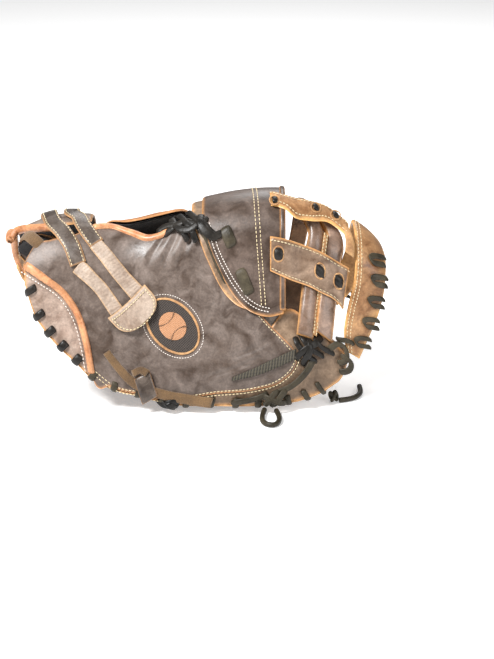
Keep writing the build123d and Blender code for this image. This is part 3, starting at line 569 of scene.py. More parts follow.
palm = panel("palm_leather_hand", -145, -3, finger_edge, thumb_edge, palm_under, palm_over, step=3.2)
dress(palm, palm_leather, "palm_leather", None, "palm_leather_finger", "palm_leather_thumb", fold=True)
palm_fingertips = panel(
    "palm_leather_fingertips", -6, 128, finger_edge, lambda x: np.minimum(finger_web(x), -0.5), palm_under,
    palm_over, step=3.0,
)
dress(palm_fingertips, palm_leather, "palm_leather", "finger_side")
palm_thumbtip = panel(
    "palm_leather_thumbtip", -6, 109, lambda x: np.maximum(thumb_web(x), 0.5), thumb_edge, palm_under,
    palm_over, step=3.0,
)
dress(palm_thumbtip, palm_leather, "palm_leather", "thumb_side")


def cloth(name, colour, light, weave=900.0, roughness=0.9, bump=0.5):
    """Plain cloth or felt: two tones by fibre noise, with a fine fibre relief and a soft sheen."""
    material, tree, shader = new_material(name)
    place = node(tree, "ShaderNodeTexCoord").outputs["Object"]
    fibre = node(
        tree, "ShaderNodeTexNoise", {"Scale": weave, "Detail": 5.0, "Roughness": 0.7}, {"Vector": place}
    )
    patch = node(tree, "ShaderNodeTexNoise", {"Scale": 40.0, "Detail": 3.0}, {"Vector": place})
    both = node(
        tree, "ShaderNodeMath", {}, {0: fibre.outputs["Fac"], 1: patch.outputs["Fac"]}, operation="MULTIPLY"
    )
    tone = node(tree, "ShaderNodeMapRange", {"From Min": 0.1, "From Max": 0.4}, {"Value": both.outputs[0]})
    two_tones(tree, shader, colour, light, tone.outputs[0])
    raised(tree, shader, bump, 0.0008, fibre.outputs["Fac"])
    shader.inputs["Roughness"].default_value = roughness
    shader.inputs["Sheen Weight"].default_value = 0.3
    shader.inputs["Sheen Roughness"].default_value = 0.5
    return material


felt = cloth("pad_felt", (0.16, 0.13, 0.11), (0.30, 0.26, 0.22))
lining = cloth("lining_cloth", (0.012, 0.011, 0.012), (0.03, 0.028, 0.03))


def pad_over(x, s):
    """The felt's face to the hand: 2.5 mm at the edge, deeper by the hand's room, wavy."""
    return -(
        2.5 + hand_room(x) * ease(inside_edge(x, s) / edge_band)
    ) + waviness(x, s, size=0.5, seed=6.0) - 0.4


def pad_under(x, s):
    """The felt's face to the palm leather."""
    return -leaf_depth(x, s) + 2.3


pad = panel(
    "felt_pad_hand", -144, -2, lambda x: finger_edge(x) + 2, lambda x: thumb_edge(x) - 2, pad_under,
    pad_over, step=3.4,
)
dress(pad, felt, "pad_felt", None, "finger_pad", "thumb_pad", fold=True)
pad_fingertips = panel(
    "felt_pad_fingertips", -5, 126, lambda x: finger_edge(x) + 2,
    lambda x: np.minimum(finger_web(x) - 1, -1), pad_under, pad_over, step=3.4,
)
dress(pad_fingertips, felt, "pad_felt", "finger_side")
pad_thumbtip = panel(
    "felt_pad_thumbtip", -5, 107, lambda x: np.maximum(thumb_web(x) + 1, 1), lambda x: thumb_edge(x) - 2,
    pad_under, pad_over, step=3.4,
)
dress(pad_thumbtip, felt, "pad_felt", "thumb_side")
lining_low = curve((-138, 133), (-111, 107), (-98, 92), (-84, 44), (-60, 24), (-20, 22), (10, 38), (36, 60))
finger_lining = panel(
    "finger_lining", -136, 36, at(lining_low, finger_s), lambda x: finger_s(x, panel_high(x) - 1.5),
    flat(-1.9), flat(-0.2), step=3,
)
dress(finger_lining, lining, "lining_cloth", "finger_side", "finger_back_lining")
thumb_lining_low = curve(
    (-160, 108), (-150, 99), (-140, 92), (-115, 68), (-90, 44), (-60, 32), (-20, 31), (20, 46), (34, 62)
)
thumb_lining = panel(
    "thumb_lining", -160, 34, lambda x: thumb_s(x, thumb_high(x) - 1.5), at(thumb_lining_low, thumb_s),
    flat(-1.9), flat(-0.2), step=3,
)
dress(thumb_lining, lining, "lining_cloth", "thumb_side", "thumb_back_lining")

# --- Bound edges ----------------------------------------------------------------------------------
# A copper-coloured leather strip is rolled over the heel line and the window in the back, and
# stitched close beside its roll. The laced edges show the raw tan of the cut leathers.


def distances(points):
    """The distance of each point of a line from its first."""
    return np.append(0, np.cumsum(np.linalg.norm(np.diff(np.asarray(points, float), axis=0), axis=1)))


def resample(points, count):
    """count points evenly along a smooth curve through the given points."""
    points = np.array(points, float)
    along = distances(points)
    t = np.linspace(0, along[-1], count)
    return np.stack([curve(*zip(along, column))(t) for column in points.T], axis=-1)


def sides_of(path, width):
    """The two edges of a strap of one width, or a width for each point, along (x, s) points."""
    along = np.gradient(path, axis=0)
    side = np.stack([-along[:, 1], along[:, 0]], axis=-1)
    side = side / np.linalg.norm(side, axis=1)[:, None] * (
        np.asarray(width) / 2 * np.ones(len(path))
    )[:, None]
    return path + side, path - side


def strap_mesh(name, a, b, lift, thickness, roundness=6.0, wave=0.0, ripple=0.0):
    """A strap between edge lines a and b: height t(1 - |v|^p)^(1/p) across, v from -1 to 1.

    lift and thickness are numbers or functions of the share along; wave and ripple are in mm."""
    n = len(a)
    across = 11
    angle = np.linspace(-1, 1, across)
    v = np.sign(angle) * (1 - (1 - np.abs(angle)) ** 1.6)
    height = (1 - np.abs(v) ** roundness) ** (1 / roundness)
    v = np.concatenate([v, v[::-1]])
    height = np.concatenate([0.25 + 0.75 * height, np.where(np.abs(v[across:]) > 0.999, 0.25, 0.0)])
    share = (v[None, :, None] + 1) / 2
    place = a[:, None] * (1 - share) + b[:, None] * share
    t = np.linspace(0, 1, n)
    lift = lift(t) if callable(lift) else np.full(n, float(lift))
    thick = thickness(t) if callable(thickness) else np.full(n, float(thickness))
    ends = np.minimum(np.arange(n), n - 1 - np.arange(n))
    thick = thick * np.where(ends == 0, 0.55, np.where(ends == 1, 0.93, 1.0))
    ends = ends[:, None] * 3.0
    x, s = place[..., 0], place[..., 1]
    d = lift[:, None] + thick[:, None] * height[None, :] + waviness(x, s, size=wave, seed=7.0)
    width = np.linalg.norm(b - a, axis=1)[:, None]
    rim = np.minimum((1 - np.abs(v))[None, :] * width / 2, ends)
    under = np.concatenate([np.zeros(across), np.full(across, 0.3)])[None, :]
    wear = np.maximum(np.exp(-rim / 1.3), under + 0 * x)
    along = distances((a + b) / 2)[:, None]
    wrinkle = np.sin(along * 2.3 + 1.4 * np.sin(along / 3 + 2.5 * v) + 2 * v)
    d = d + ripple * height * wrinkle
    uv = np.stack([along + 0 * x, (v[None, :] + 1) / 2 * width], -1) / 1000
    return tube_mesh(name, on_form(x, s, d), uv, wear)


def strap(name, path, width, lift, thickness, roundness=6.0, step=2.0, wave=0.0, ripple=0.0):
    """A strap along (x, s) points, of a width that may be a function of the share along."""
    line = resample(path, int(max(5, distances(path)[-1] / step)))
    if callable(width):
        width = width(np.linspace(0, 1, len(line)))
    return strap_mesh(
        name, *sides_of(line, width), lift, thickness, roundness=roundness, wave=wave, ripple=ripple
    )


def strap_between(name, side_a, side_b, lift, thickness, roundness=6.0, step=2.0, wave=0.0):
    """A strap between two edges given as (x, s) points."""
    count = int(max(5, distances(side_a)[-1] / step))
    return strap_mesh(
        name, resample(side_a, count), resample(side_b, count), lift, thickness, roundness=roundness,
        wave=wave,
    )


def finger_points(*points, d=0.0):
    """Finger side points (x, h) as (x, s)."""
    return [(x, float(finger_s(x, h, d))) for x, h in points]


def thumb_points(*points):
    """Thumb side points (x, z) as (x, s)."""
    return [(x, float(thumb_s(x, z))) for x, z in points]


def join(name, pieces):
    """One object from several."""
    for piece in bpy.context.selected_objects:
        piece.select_set(False)
    for piece in pieces:
        piece.select_set(True)
    bpy.context.view_layer.objects.active = pieces[0]
    bpy.ops.object.join()
    pieces[0].name = name
    pieces[0].data.name = name
    return pieces[0]


binding_leather = leather(
    "binding_leather", (0.24, 0.088, 0.036), (0.48, 0.2, 0.088), (0.66, 0.335, 0.165), (0.6, 0.29, 0.14),
    roughness=0.36, bump=0.2, worn=0.25, raw_edge=0.3, dirt_and_floor_shade=0.3,
)
heel_line = finger_points((-144.5, 121.5), (-127, 110.5), (-111, 97.5), (-99.5, 79), (-93, 57), (-88.5, 31))
heel_binding = strap("heel_binding", heel_line, 5.8, 2.2, 3.2, roundness=2.1)
dress(heel_binding, binding_leather, "binding_leather", "finger_side", "heel_binding_finger")
window_line = finger_points((-88, 153), (-72, 153.5), (-56, 148.5), (-40, 144), (-30, 146.5), (-21, 153))
window_binding = strap("window_binding_finger_side", window_line, 5.6, 2.0, 3.0, roundness=2.2)
dress(window_binding, binding_leather, "binding_leather", "finger_side", "window_binding_finger")
far_line = thumb_points((-82, 129), (-62, 136), (-40, 142), (-16, 145.5))
far_binding = strap("window_binding_thumb_side", far_line, 5.6, 2.0, 3.0, roundness=2.2)
dress(far_binding, binding_leather, "binding_leather", "thumb_side", "window_binding_thumb")
raw_edge = leather(
    "raw_edge", (0.22, 0.1, 0.04), (0.42, 0.21, 0.085), (0.56, 0.32, 0.145), (0.62, 0.37, 0.16),
    roughness=0.6, bump=0.5, worn=0.3, raw_edge=0.6, dirt_and_floor_shade=0.3,
)
edge_x = np.concatenate([np.linspace(-145, -60, 60), np.linspace(-58, 128, 70)])
finger_rim = strap_mesh(
    "finger_cut_edge", *sides_of(np.stack([edge_x, finger_edge(edge_x) - 0.2], -1), 1.6), -6.2, 6.6,
    roundness=3.0,
)
dress(finger_rim, raw_edge, "binding_leather", "finger_side")
edge_x = np.linspace(-162, 109, 120)
thumb_rim = strap_mesh(
    "thumb_cut_edge", *sides_of(np.stack([edge_x, thumb_edge(edge_x) + 0.2], -1), 1.6), -6.2, 6.6,
    roundness=3.0,
)
dress(thumb_rim, raw_edge, "binding_leather", "thumb_side")

# --- The wrist cuff and its lining ----------------------------------------------------------------
# A leather cuff wraps the wrist opening from the finger side, over the ridge, to the thumb side. A
# dark cloth lies under it, and the strap's bands over it.

cuff_near = curve((-158, 151), (-150, 153), (-139, 154), (-125, 155), (-100, 158), (-90, 160))
cuff_far = curve((-161, 114), (-157, 108), (-90, 108))


def rises(low, high, start=2.0, end=40.0):
    """A depth that eases from low on the finger side to high on the thumb side."""
    return lambda x, s: low + (high - low) * ease((s - start) / (end - start)) + 0 * x


cuff_leather = leather(
    "cuff_leather", (0.066, 0.044, 0.033), (0.154, 0.113, 0.09), (0.275, 0.22, 0.182), (0.52, 0.28, 0.12),
    roughness=0.38, bump=0.3, worn=0.1,
)
cuff = panel(
    "wrist_cuff", -158, -90, at(cuff_near, finger_s), at(cuff_far, thumb_s), rises(0.4, 2.7),
    lambda x, s: rises(2.4, 4.8)(x, s) + waviness(x, s, size=0.4, seed=8.0),
)
dress(cuff, cuff_leather, "back_leather", None, "wrist_cuff_finger", "wrist_cuff_thumb", fold=True)
cuff_line = [(x, float(finger_s(x, cuff_near(x))) - 3.2) for x in (-156, -147, -136, -125, -112)]
wrist_lining = panel(
    "wrist_lining", -157, -92, lambda x: finger_s(x, cuff_near(x)) + 3, lambda x: thumb_s(x, 121 + 0 * x),
    rises(-1.0, 0.9), rises(0.1, 2.4), step=3,
)
dress(wrist_lining, lining, "lining_cloth", None, fold=True)

# --- Straps and pull tab --------------------------------------------------------------------------
# Two dark bands come over the ridge from the thumb side. Sewn to them are two light, finely wrinkled
# bands that end under a D-shaped pad, the pull tab, which is held down by hook and loop.

band_leather = leather(
    "band_leather", (0.028, 0.019, 0.014), (0.065, 0.048, 0.038), (0.136, 0.112, 0.096), (0.5, 0.27, 0.12),
    roughness=0.28, bump=0.25, worn=0.06, raw_edge=0.9,
)
tab_leather = leather(
    "tab_leather", (0.194, 0.131, 0.093), (0.313, 0.236, 0.181), (0.454, 0.362, 0.289), (0.52, 0.32, 0.16),
    roughness=0.5, bump=0.3, worn=0.1, raw_edge=0.9, dirt_and_floor_shade=0.2,
)
band_lift = curve((0, 3.4), (0.18, 3.4), (0.36, 4.6), (1, 5.3))
band_paths = {
    "wrist": (
        [(-99.2, 123), (-105, 138.5), (-113, 150), (-122, 158)], [(-126, -1.5), (-129, 14)],
        [(-131, 136), (-134, 118), (-136, 98)],
    ),
    "knuckle": (
        [(-84.2, 140.5), (-90, 148), (-96, 156), (-102, 164)], [(-106, -1.5), (-108.5, 12)],
        [(-110, 136), (-112, 118), (-114, 98)],
    ),
}
thread_lines = []
for band, (near, over, far) in band_paths.items():
    path = [*finger_points(*near, d=3.4), *over, *thumb_points(*far)]
    piece = strap(f"strap_band_{band}", path, 14, band_lift, 2.1, roundness=7.0, step=1.8, wave=0.25)
    dress(
        piece, band_leather, "back_leather", None, f"strap_band_{band}_finger", f"strap_band_{band}_thumb",
        fold=True,
    )
    thread_lines.append((path, band_lift))

tab_corner = np.array([-74.5, 77.5])
tab_width, tab_drop, tab_radius = 42, 23.4, 14
tab_turn = math.radians(42.5)
along_tab = np.array([math.cos(tab_turn), math.sin(tab_turn)])
down_tab = np.array([math.sin(tab_turn), -math.cos(tab_turn)])


def tab_places(v, inset=0.0):
    """Both ends, (x, h), of the tab's row at v: a straight edge, then two round corners."""
    drop = np.maximum(v - 9.5, 0)
    pull = tab_radius - np.sqrt(np.maximum(tab_radius**2 - drop**2, 0)) + inset
    down = tab_corner + v[:, None] * down_tab
    return down + pull[:, None] * along_tab, down + (tab_width - pull)[:, None] * along_tab


def on_finger(places, d):
    """(x, h) rows as (x, s) at height d."""
    return np.stack([places[:, 0], finger_s(places[:, 0], places[:, 1], d)], -1)


tab_rows = tab_drop * np.sin(np.linspace(0, math.pi / 2, 20))
tab_sides = [on_finger(side, 6) for side in tab_places(tab_rows)]
tab_pad = strap_mesh(
    "tab_pad_leather", *tab_sides, 6.0, lambda t: 2.7 + 0.5 * np.sin(np.pi * t), roundness=3.4, wave=0.2
)
dress(tab_pad, tab_leather, "tab_leather", "pull_tab", "tab_pad")
tab_band_paths = {
    "wrist": ((-100, 121.5), (-96.8, 118.6), (-88.5, 111), (-80.5, 102.5), (-73.5, 92.5), (-66.5, 82)),
    "knuckle": ((-85, 141), (-82, 137), (-74, 127), (-67, 118), (-60, 109.5), (-49, 97.5)),
}
tab_band_lift = curve((0, 2.6), (0.06, 2.7), (0.2, 4.6), (0.5, 4.2), (0.85, 4.0), (1, 3.9))
for band, path in tab_band_paths.items():
    line = finger_points(*path, d=4)
    piece = strap(
        f"tab_band_{band}_light", line, 13, tab_band_lift, 1.8, roundness=6.0, step=0.5, wave=0.0,
        ripple=0.16,
    )
    dress(piece, tab_leather, "tab_leather", None, f"tab_band_{band}")
    bend = [tuple(on_form(*line[k], 4.0)) for k in (0, 2)]
    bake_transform(piece)

# --- Stitching ------------------------------------------------------------------------------------
# Waxed thread of about 0.8 mm in stitches of 2.5 to 3.5 mm, sunk at both ends, in pale yellow, white
# or dark brown. Each row follows the edge of its leather.


def thread(name, colour, light):
    """Waxed thread: two tones by noise with twisted-ply ridges along the stitch."""
    material, tree, shader = new_material(name)
    place = node(tree, "ShaderNodeTexCoord").outputs["Object"]
    dirt_and_floor_shade = node(tree, "ShaderNodeTexNoise", {"Scale": 260.0, "Detail": 3.0}, {"Vector": place})
    two_tones(tree, shader, colour, light, dirt_and_floor_shade.outputs["Fac"])
    ply = node(
        tree, "ShaderNodeTexWave", {"Scale": 1400.0, "Distortion": 1.0}, {"Vector": place},
        bands_direction="DIAGONAL",
    )
    raised(tree, shader, 0.4, 0.0002, ply.outputs["Fac"])
    shader.inputs["Roughness"].default_value = 0.6
    return material


yellow_thread = thread("yellow_thread", (0.50, 0.38, 0.20), (0.78, 0.66, 0.44))
white_thread = thread("white_thread", (0.55, 0.48, 0.42), (0.86, 0.80, 0.74))
dark_thread = thread("dark_thread", (0.05, 0.03, 0.02), (0.14, 0.08, 0.05))


def lace_rings(path, width, thick, side=None, power=2.6, around=10, end=0.8):
    """A flat oval |a/w|^p + |b/t|^p = 1 carried along (x, s, d) paths, its ends rounded over end mm."""
    path = np.asarray(path, float)
    tangent = np.gradient(path, axis=-2)
    tangent = tangent / np.linalg.norm(tangent, axis=-1, keepdims=True)
    if side is None:
        side = np.stack([-tangent[..., 1], tangent[..., 0], 0 * tangent[..., 0]], -1)
        side = side / np.maximum(np.linalg.norm(side, axis=-1, keepdims=True), 1e-9)
    normal = np.cross(tangent, side)
    angle = np.linspace(0, 2 * math.pi, around, endpoint=False) + math.pi / around
    a = np.sign(np.cos(angle)) * np.abs(np.cos(angle)) ** (2 / power) * width / 2
    b = np.sign(np.sin(angle)) * np.abs(np.sin(angle)) ** (2 / power) * thick / 2
    steps = np.linalg.norm(np.diff(path, axis=-2), axis=-1)
    length = np.concatenate([0 * steps[..., :1], np.cumsum(steps, axis=-1)], axis=-1)
    from_end = np.clip(np.minimum(length, length[..., -1:] - length) / max(end, 1e-6), 0, 1)
    scale = np.where(end > 0, np.sqrt(0.12 + 0.88 * (1 - (1 - from_end) ** 2)), 1.0)[..., None, None]
    points = path[..., None, :] + (
        side[..., None, :] * a[:, None] + normal[..., None, :] * b[:, None]
    ) * scale
    uv = np.stack(np.broadcast_arrays(length[..., None], a), -1) / 1000
    wear = np.broadcast_to(np.abs(a) / np.abs(a).max() * 0.5, points.shape[:-1]).copy()
    return on_form(points[..., 0], points[..., 1], points[..., 2]), uv, wear


def stitches(path, d, pitch=3.0, length=2.3, gauge=0.85, offset=0.0):
    """A row of short arched threads along (x, s) points; d is a height or a function of the share."""
    line = resample(path, max(int(distances(path)[-1]), 4))
    if offset:
        line = sides_of(line, 2 * abs(offset))[0 if offset > 0 else 1]
    along = distances(line)
    centre = np.arange(pitch / 2, along[-1], pitch)
    u = np.linspace(-0.5, 0.5, 5)
    where = centre[:, None] + u * length
    x = np.interp(where, along, line[:, 0])
    s = np.interp(where, along, line[:, 1])
    height = d(where / along[-1]) if callable(d) else d + 0 * where
    return np.stack([x, s, height + gauge * (0.45 - 3.2 * u**2)], -1), gauge


def sew(name, material, slot, body, rows, fold=False):
    """One object from several stitch rows."""
    parts = [lace_rings(path, gauge, gauge * 0.8, power=2.0, around=6, end=0.5) for path, gauge in rows]
    stacked = [np.concatenate([part[i] for part in parts]) for i in range(3)]
    return dress(tube_mesh(name, *stacked), material, slot, body, fold=fold)


def on_surface(row, surface):
    """A stitch row moved onto a surface d = surface(x, s)."""
    path, gauge = row
    path = path.copy()
    path[..., 2] += surface(path[..., 0], path[..., 1])
    return path, gauge


heel_row = on_surface(stitches(heel_line, 0.0, pitch=3.3, length=2.1, offset=-5.2), finger_panel_top)
panel_foot = finger_points(
    (85, 46), (79, 34), (66, 24), (50, 19.5), (30, 17), (16, 16), (-8, 12), (-28, 10.5), (-47, 15.5),
    (-72, 22), (-86, 33),
)
panel_side = finger_points(
    (-26, 154), (-17, 156), (-8, 154.5), (4, 144), (24, 118), (43, 92), (58, 73), (70, 61), (81, 49)
)
rows = [
    on_surface(stitches(line, 0.0, pitch=3.1, offset=gap), finger_panel_top)
    for line, gap in ((panel_foot, 0), (panel_foot, 3.2), (panel_side, 0))
]
sew("finger_panel_stitching", yellow_thread, "patch_thread", "finger_side", rows)
sew("heel_stitching", white_thread, "patch_thread", "finger_side", [heel_row])
binding_rows = [
    stitches(heel_line, 3.6, pitch=3.4, length=2.4, gauge=0.7, offset=-2.2),
    stitches(window_line, 3.4, pitch=3.2, length=2.3, gauge=0.7, offset=2.2),
]
sew("binding_stitching_finger_side", dark_thread, "black_lace", "finger_side", binding_rows)
far_rows = [stitches(far_line, 3.4, pitch=3.2, length=2.3, gauge=0.7, offset=-2.2)]
sew("binding_stitching_thumb_side", dark_thread, "black_lace", "thumb_side", far_rows)
band_rows = [
    stitches(path, lambda t, lift=lift: lift(t) + 2.15, pitch=3.0, length=2.2, gauge=0.75, offset=gap)
    for path, lift in thread_lines
    for gap in (-5.2, 5.2)
]
sew("band_stitching", yellow_thread, "patch_thread", None, band_rows, fold=True)
left, right = tab_places(tab_rows[:-2] * 0.86 + 2.2, 2.4)
tab_line = on_finger(np.concatenate([left, right[::-1]]), 8)
tab_top_line = on_finger(np.concatenate(tab_places(np.array([4.2]), 3)), 8)
rows = [
    stitches(tab_line, 8.6, pitch=3.0, length=2.2, gauge=1.0),
    stitches(tab_top_line, 9.0, pitch=2.6, length=2.0, gauge=1.0),
]
sew("tab_stitching", yellow_thread, "patch_thread", "pull_tab", rows)

# --- The wrist opening's rolled edge and suede loop -----------------------------------------------
# The opening's edge is one thick roll of copper leather, from the bands round the far corner and down
# the thumb side, stitched along its foot. A loop of soft ochre suede shows inside it.

roll_far = thumb_points(
    (-161.5, 127), (-162.5, 117), (-163, 106), (-161, 95), (-156.5, 85), (-150.5, 76), (-144, 70)
)
roll_line = [
    *[(*place, 2.4) for place in cuff_line[::-1]], (-160, -13, 2.2), (-161.5, 0, 2.0), (-161.5, 16, 1.8),
    *[(*place, 1.4) for place in roll_far],
]


def roll_rings(middle, radius, around=18):
    """Circles middle + radius (side cos a + up sin a), side being the direction x (1, 1, 1), in metres."""
    for _ in range(12):
        middle[1:-1] = (middle[:-2] + 2 * middle[1:-1] + middle[2:]) / 4
    tangent = np.gradient(middle, axis=0)
    tangent = tangent / np.linalg.norm(tangent, axis=1)[:, None]
    side = np.cross(tangent, (1.0, 1.0, 1.0))
    side = side / np.linalg.norm(side, axis=1)[:, None]
    up = np.cross(side, tangent)
    angle = np.linspace(0, 2 * math.pi, around, endpoint=False)[:, None]
    share = np.linspace(0, 1, len(middle))
    size = radius * np.sqrt(
        1 - 0.85 * np.clip(1 - np.minimum(share, 1 - share) * 60, 0, 1) ** 2
    )[:, None, None]
    rings = middle[:, None] + size * (side[:, None] * np.cos(angle) + up[:, None] * np.sin(angle))
    uv = np.stack(np.broadcast_arrays(distances(middle)[:, None], angle[:, 0] * radius), -1)
    return rings, uv, np.zeros(uv.shape[:2])


roll = tube_mesh("wrist_rolled_binding", *roll_rings(on_form(*resample(roll_line, 130).T), 0.0036))
dress(
    roll, binding_leather, "binding_leather", None, "cuff_binding_finger", "cuff_binding_thumb", fold=True
)
roll_seam = [(x + 3.4, s) for x, s, _ in roll_line[6:]]
roll_row = stitches(roll_seam, -1.6, pitch=2.6, length=1.7, gauge=1.1)
sew("wrist_roll_stitching", white_thread, "patch_thread", None, [roll_row], fold=True)
suede = cloth("suede", (0.045, 0.022, 0.007), (0.19, 0.105, 0.04), weave=1300.0, roughness=0.92, bump=0.8)
pull_loop = strap(
    "wrist_loop_suede", finger_points((-131, 138), (-138, 142), (-144, 145), (-149, 145)), 9,
    lambda t: 0.4 + 3.2 * np.sin(2.6 * t), 1.8, roundness=3.0, step=1.2, wave=0.3,
)
dress(pull_loop, suede, "suede", "finger_side")

# --- Oval patch -----------------------------------------------------------------------------------
# An oval opening cut in the back panel shows a dark ribbed mesh, with a ball embroidered on it in
# copper thread. The cut edge is raw tan leather with a close white stitch row round it.

patch_centre = np.array([-20.0, 70.7])
patch_turn = math.radians(-48)


def on_patch(a, b):
    """(x, s) points a mm along the oval's long axis and b mm along its short one."""
    x = patch_centre[0] + a * math.cos(patch_turn) - b * math.sin(patch_turn)
    h = patch_centre[1] + a * math.sin(patch_turn) + b * math.cos(patch_turn)
    return np.stack([x, finger_s(x, h)], -1)


def oval_ring(long, short, count):
    """(x, s) points round the oval, long and short being its half axes."""
    t = np.linspace(0, 2 * math.pi, count)
    return on_patch(long * np.cos(t), short * np.sin(t))


def oval_disc(name, long, short, under, over, dome=0.0, rows=14, count=72):
    """A filled oval: rings shrinking to the middle over and under, height over + dome(1 - r^2)."""
    outer = oval_ring(long, short, count + 1)[:-1]
    middle = outer.mean(axis=0)
    r = np.sin(np.linspace(0.02, math.pi / 2, rows))
    r = np.concatenate([r, r[::-1]])
    d = np.concatenate([over + dome * (1 - r[:rows] ** 2), np.full(rows, float(under))])
    d[rows - 1] -= 0.12
    place = middle + (outer[None] - middle) * r[:, None, None]
    rings = on_form(place[..., 0], place[..., 1], d[:, None])
    uv = place / 1000
    return tube_mesh(
        name, rings, uv, np.broadcast_to(np.exp(-(1 - r) * 12)[:, None], rings.shape[:2]).copy()
    )


def ribbed_group():
    """Woven ribs: ridges across the UV at a pitch plus 0.3 of finer threads square to them."""
    group, inputs, out = new_group(
        "ribbed_weave", [("Pitch", "NodeSocketFloat", 700.0), ("Turn", "NodeSocketFloat", 0.0)],
        [("Height", "NodeSocketFloat")],
    )
    uv = node(group, "ShaderNodeUVMap", uv_map="metres").outputs["UV"]
    turned = node(
        group, "ShaderNodeVectorRotate", {}, {"Vector": uv, "Angle": inputs.outputs["Turn"]},
        rotation_type="Z_AXIS",
    )
    ribs = node(
        group, "ShaderNodeTexWave", {"Distortion": 0.6, "Detail": 1.0},
        {"Vector": turned.outputs[0], "Scale": inputs.outputs["Pitch"]},
    )
    cross = node(
        group, "ShaderNodeTexWave", {"Distortion": 0.4},
        {"Vector": turned.outputs[0], "Scale": inputs.outputs["Pitch"]}, bands_direction="Y",
    )
    both = node(
        group, "ShaderNodeMath", {1: 0.3}, {0: cross.outputs["Fac"], 2: ribs.outputs["Fac"]},
        operation="MULTIPLY_ADD",
    )
    group.links.new(both.outputs[0], out.inputs["Height"])
    return group


ribbed = ribbed_group()


def ribbed_cloth(name, dark, light, pitch, turn, roughness=0.75):
    """Ribbed weave between two tones by the rib height: painted shade in the grooves, painted highlight on
    the ribs.
    """
    material, tree, shader = new_material(name)
    weave = node(tree, "ShaderNodeGroup", node_tree=ribbed)
    weave.inputs["Pitch"].default_value = pitch
    weave.inputs["Turn"].default_value = turn
    # Painted shade and highlight: the colour follows the same height as the bump, dark in the grooves and
    # light on the ribs.
    two_tones(tree, shader, dark, light, weave.outputs["Height"])
    raised(tree, shader, 0.8, 0.0005, weave.outputs["Height"])
    shader.inputs["Roughness"].default_value = roughness
    return material


mesh_cloth = ribbed_cloth("patch_mesh", (0.006, 0.005, 0.004), (0.05, 0.036, 0.028), pitch=190.0, turn=0.9)
copper_thread = ribbed_cloth(
    "copper_thread", (0.20, 0.085, 0.04), (0.60, 0.30, 0.15), pitch=330.0, turn=-0.6, roughness=0.42
)
ground = oval_disc("patch_mesh_ground", 26.4, 18.4, under=2.5, over=3.2)
dress(ground, mesh_cloth, "patch_ground", "finger_side", "patch_ground")
rim_path = np.column_stack([oval_ring(26.4, 18.4, 120), np.full(120, 3.2)])
rim_path = np.concatenate([rim_path, rim_path[1:3]])
patch_rim = tube_mesh("patch_cut_edge", *lace_rings(rim_path, 1.9, 1.5, power=2.4, around=10, end=0))
dress(patch_rim, raw_edge, "binding_leather", "finger_side", "patch_rim")
round_patch = on_surface(
    stitches(oval_ring(30.2, 22.0, 160), 0.0, pitch=2.3, length=1.7, gauge=0.75), finger_panel_top
)
sew("patch_edge_stitching", white_thread, "patch_thread", "finger_side", [round_patch])
ball = oval_disc("patch_ball_ground", 12.6, 10.8, under=3.1, over=3.7, dome=0.9)
dress(ball, copper_thread, "patch_thread", "finger_side", "patch_ball")
angle = np.linspace(-0.9, 0.9, 24)
rows = [
    stitches(
        on_patch(side * (11.4 - 6.6 * np.cos(angle * 1.2)), 11.4 * np.sin(angle)), 4.3, pitch=1.6,
        length=1.3, gauge=0.8,
    )
    for side in (-1, 1)
]
sew("patch_ball_seams", dark_thread, "patch_thread", "finger_side", rows)

# --- The web: base, bars, posts and rim -----------------------------------------------------------
# Between fingers and thumb hangs the web: a broad base over its backing, two padded upright bars,
# two cross posts laced through slots, and a rim that follows the end from leaf to leaf.

web_leather = leather(
    "web_leather", (0.029, 0.018, 0.012), (0.068, 0.046, 0.035), (0.13, 0.094, 0.076), (0.52, 0.25, 0.09),
    roughness=0.36, bump=0.3, worn=0.12, raw_edge=0.9, dirt_and_floor_shade=0.4,
)
warm_web_leather = leather(
    "warm_web_leather", (0.127, 0.052, 0.021), (0.294, 0.142, 0.059), (0.461, 0.257, 0.119),
    (0.68, 0.36, 0.12), roughness=0.36, bump=0.3, worn=0.35, raw_edge=1.0, dirt_and_floor_shade=0.25,
)
base_low = curve(
    (3, 157), (8, 146), (16.5, 125), (27.6, 102), (40.8, 86), (52, 80), (60.6, 78.5), (73.5, 81)
)
backing_low = curve((-6, 157), (0, 148), (9, 127), (20, 104), (33, 89), (45, 84), (60, 82), (70, 84))
thumb_base_low = curve((-4, 139), (8, 126), (20, 113), (40, 98), (60, 90), (73.5, 86))


def base_top(x, s):
    """The base's outer face, 7.7 mm up and wavy."""
    return 7.7 + waviness(x, s, size=0.55, seed=9.0)


backing = panel(
    "web_base_backing", -4.5, 70, at(backing_low, finger_s), lambda x: thumb_s(x, thumb_base_low(x) - 3),
    flat(2.9), flat(4.8),
)
dress(
    backing, edge_leather, "web_leather", None, "web_base_backing_finger", "web_base_backing_thumb",
    fold=True,
)
base = panel(
    "web_base", 4.5, 73.5, at(base_low, finger_s), at(thumb_base_low, thumb_s), flat(5.4), base_top,
    step=1.9,
)
dress(base, web_leather, "web_leather", None, "web_base_finger", "web_base_thumb", fold=True)
base_right = [(72.6, s) for s in np.linspace(float(finger_s(73, 84)), float(thumb_s(73, 88)), 40)]
base_roll = strap("web_base_rolled_edge", base_right, 5.0, 6.4, 2.8, roundness=2.0)
dress(base_roll, web_leather, "web_leather", None, fold=True)
inner_line = finger_points((46.5, 188), (49.5, 160), (52.5, 120), (55, 86))
base_edge = finger_points((8, 153), (14, 139), (21.5, 122), (32, 103.5), (44, 89.5), (54, 84), (61, 82.5))
rows = [on_surface(stitches(inner_line, 0.0, pitch=3.0, offset=gap), base_top) for gap in (0, 3.4)]
sew("web_base_stitching", yellow_thread, "patch_thread", "finger_side", rows)
rows = [
    on_surface(stitches(base_edge, 0.0, pitch=2.6, length=2.0, offset=gap), base_top) for gap in (0, 3.0)
]
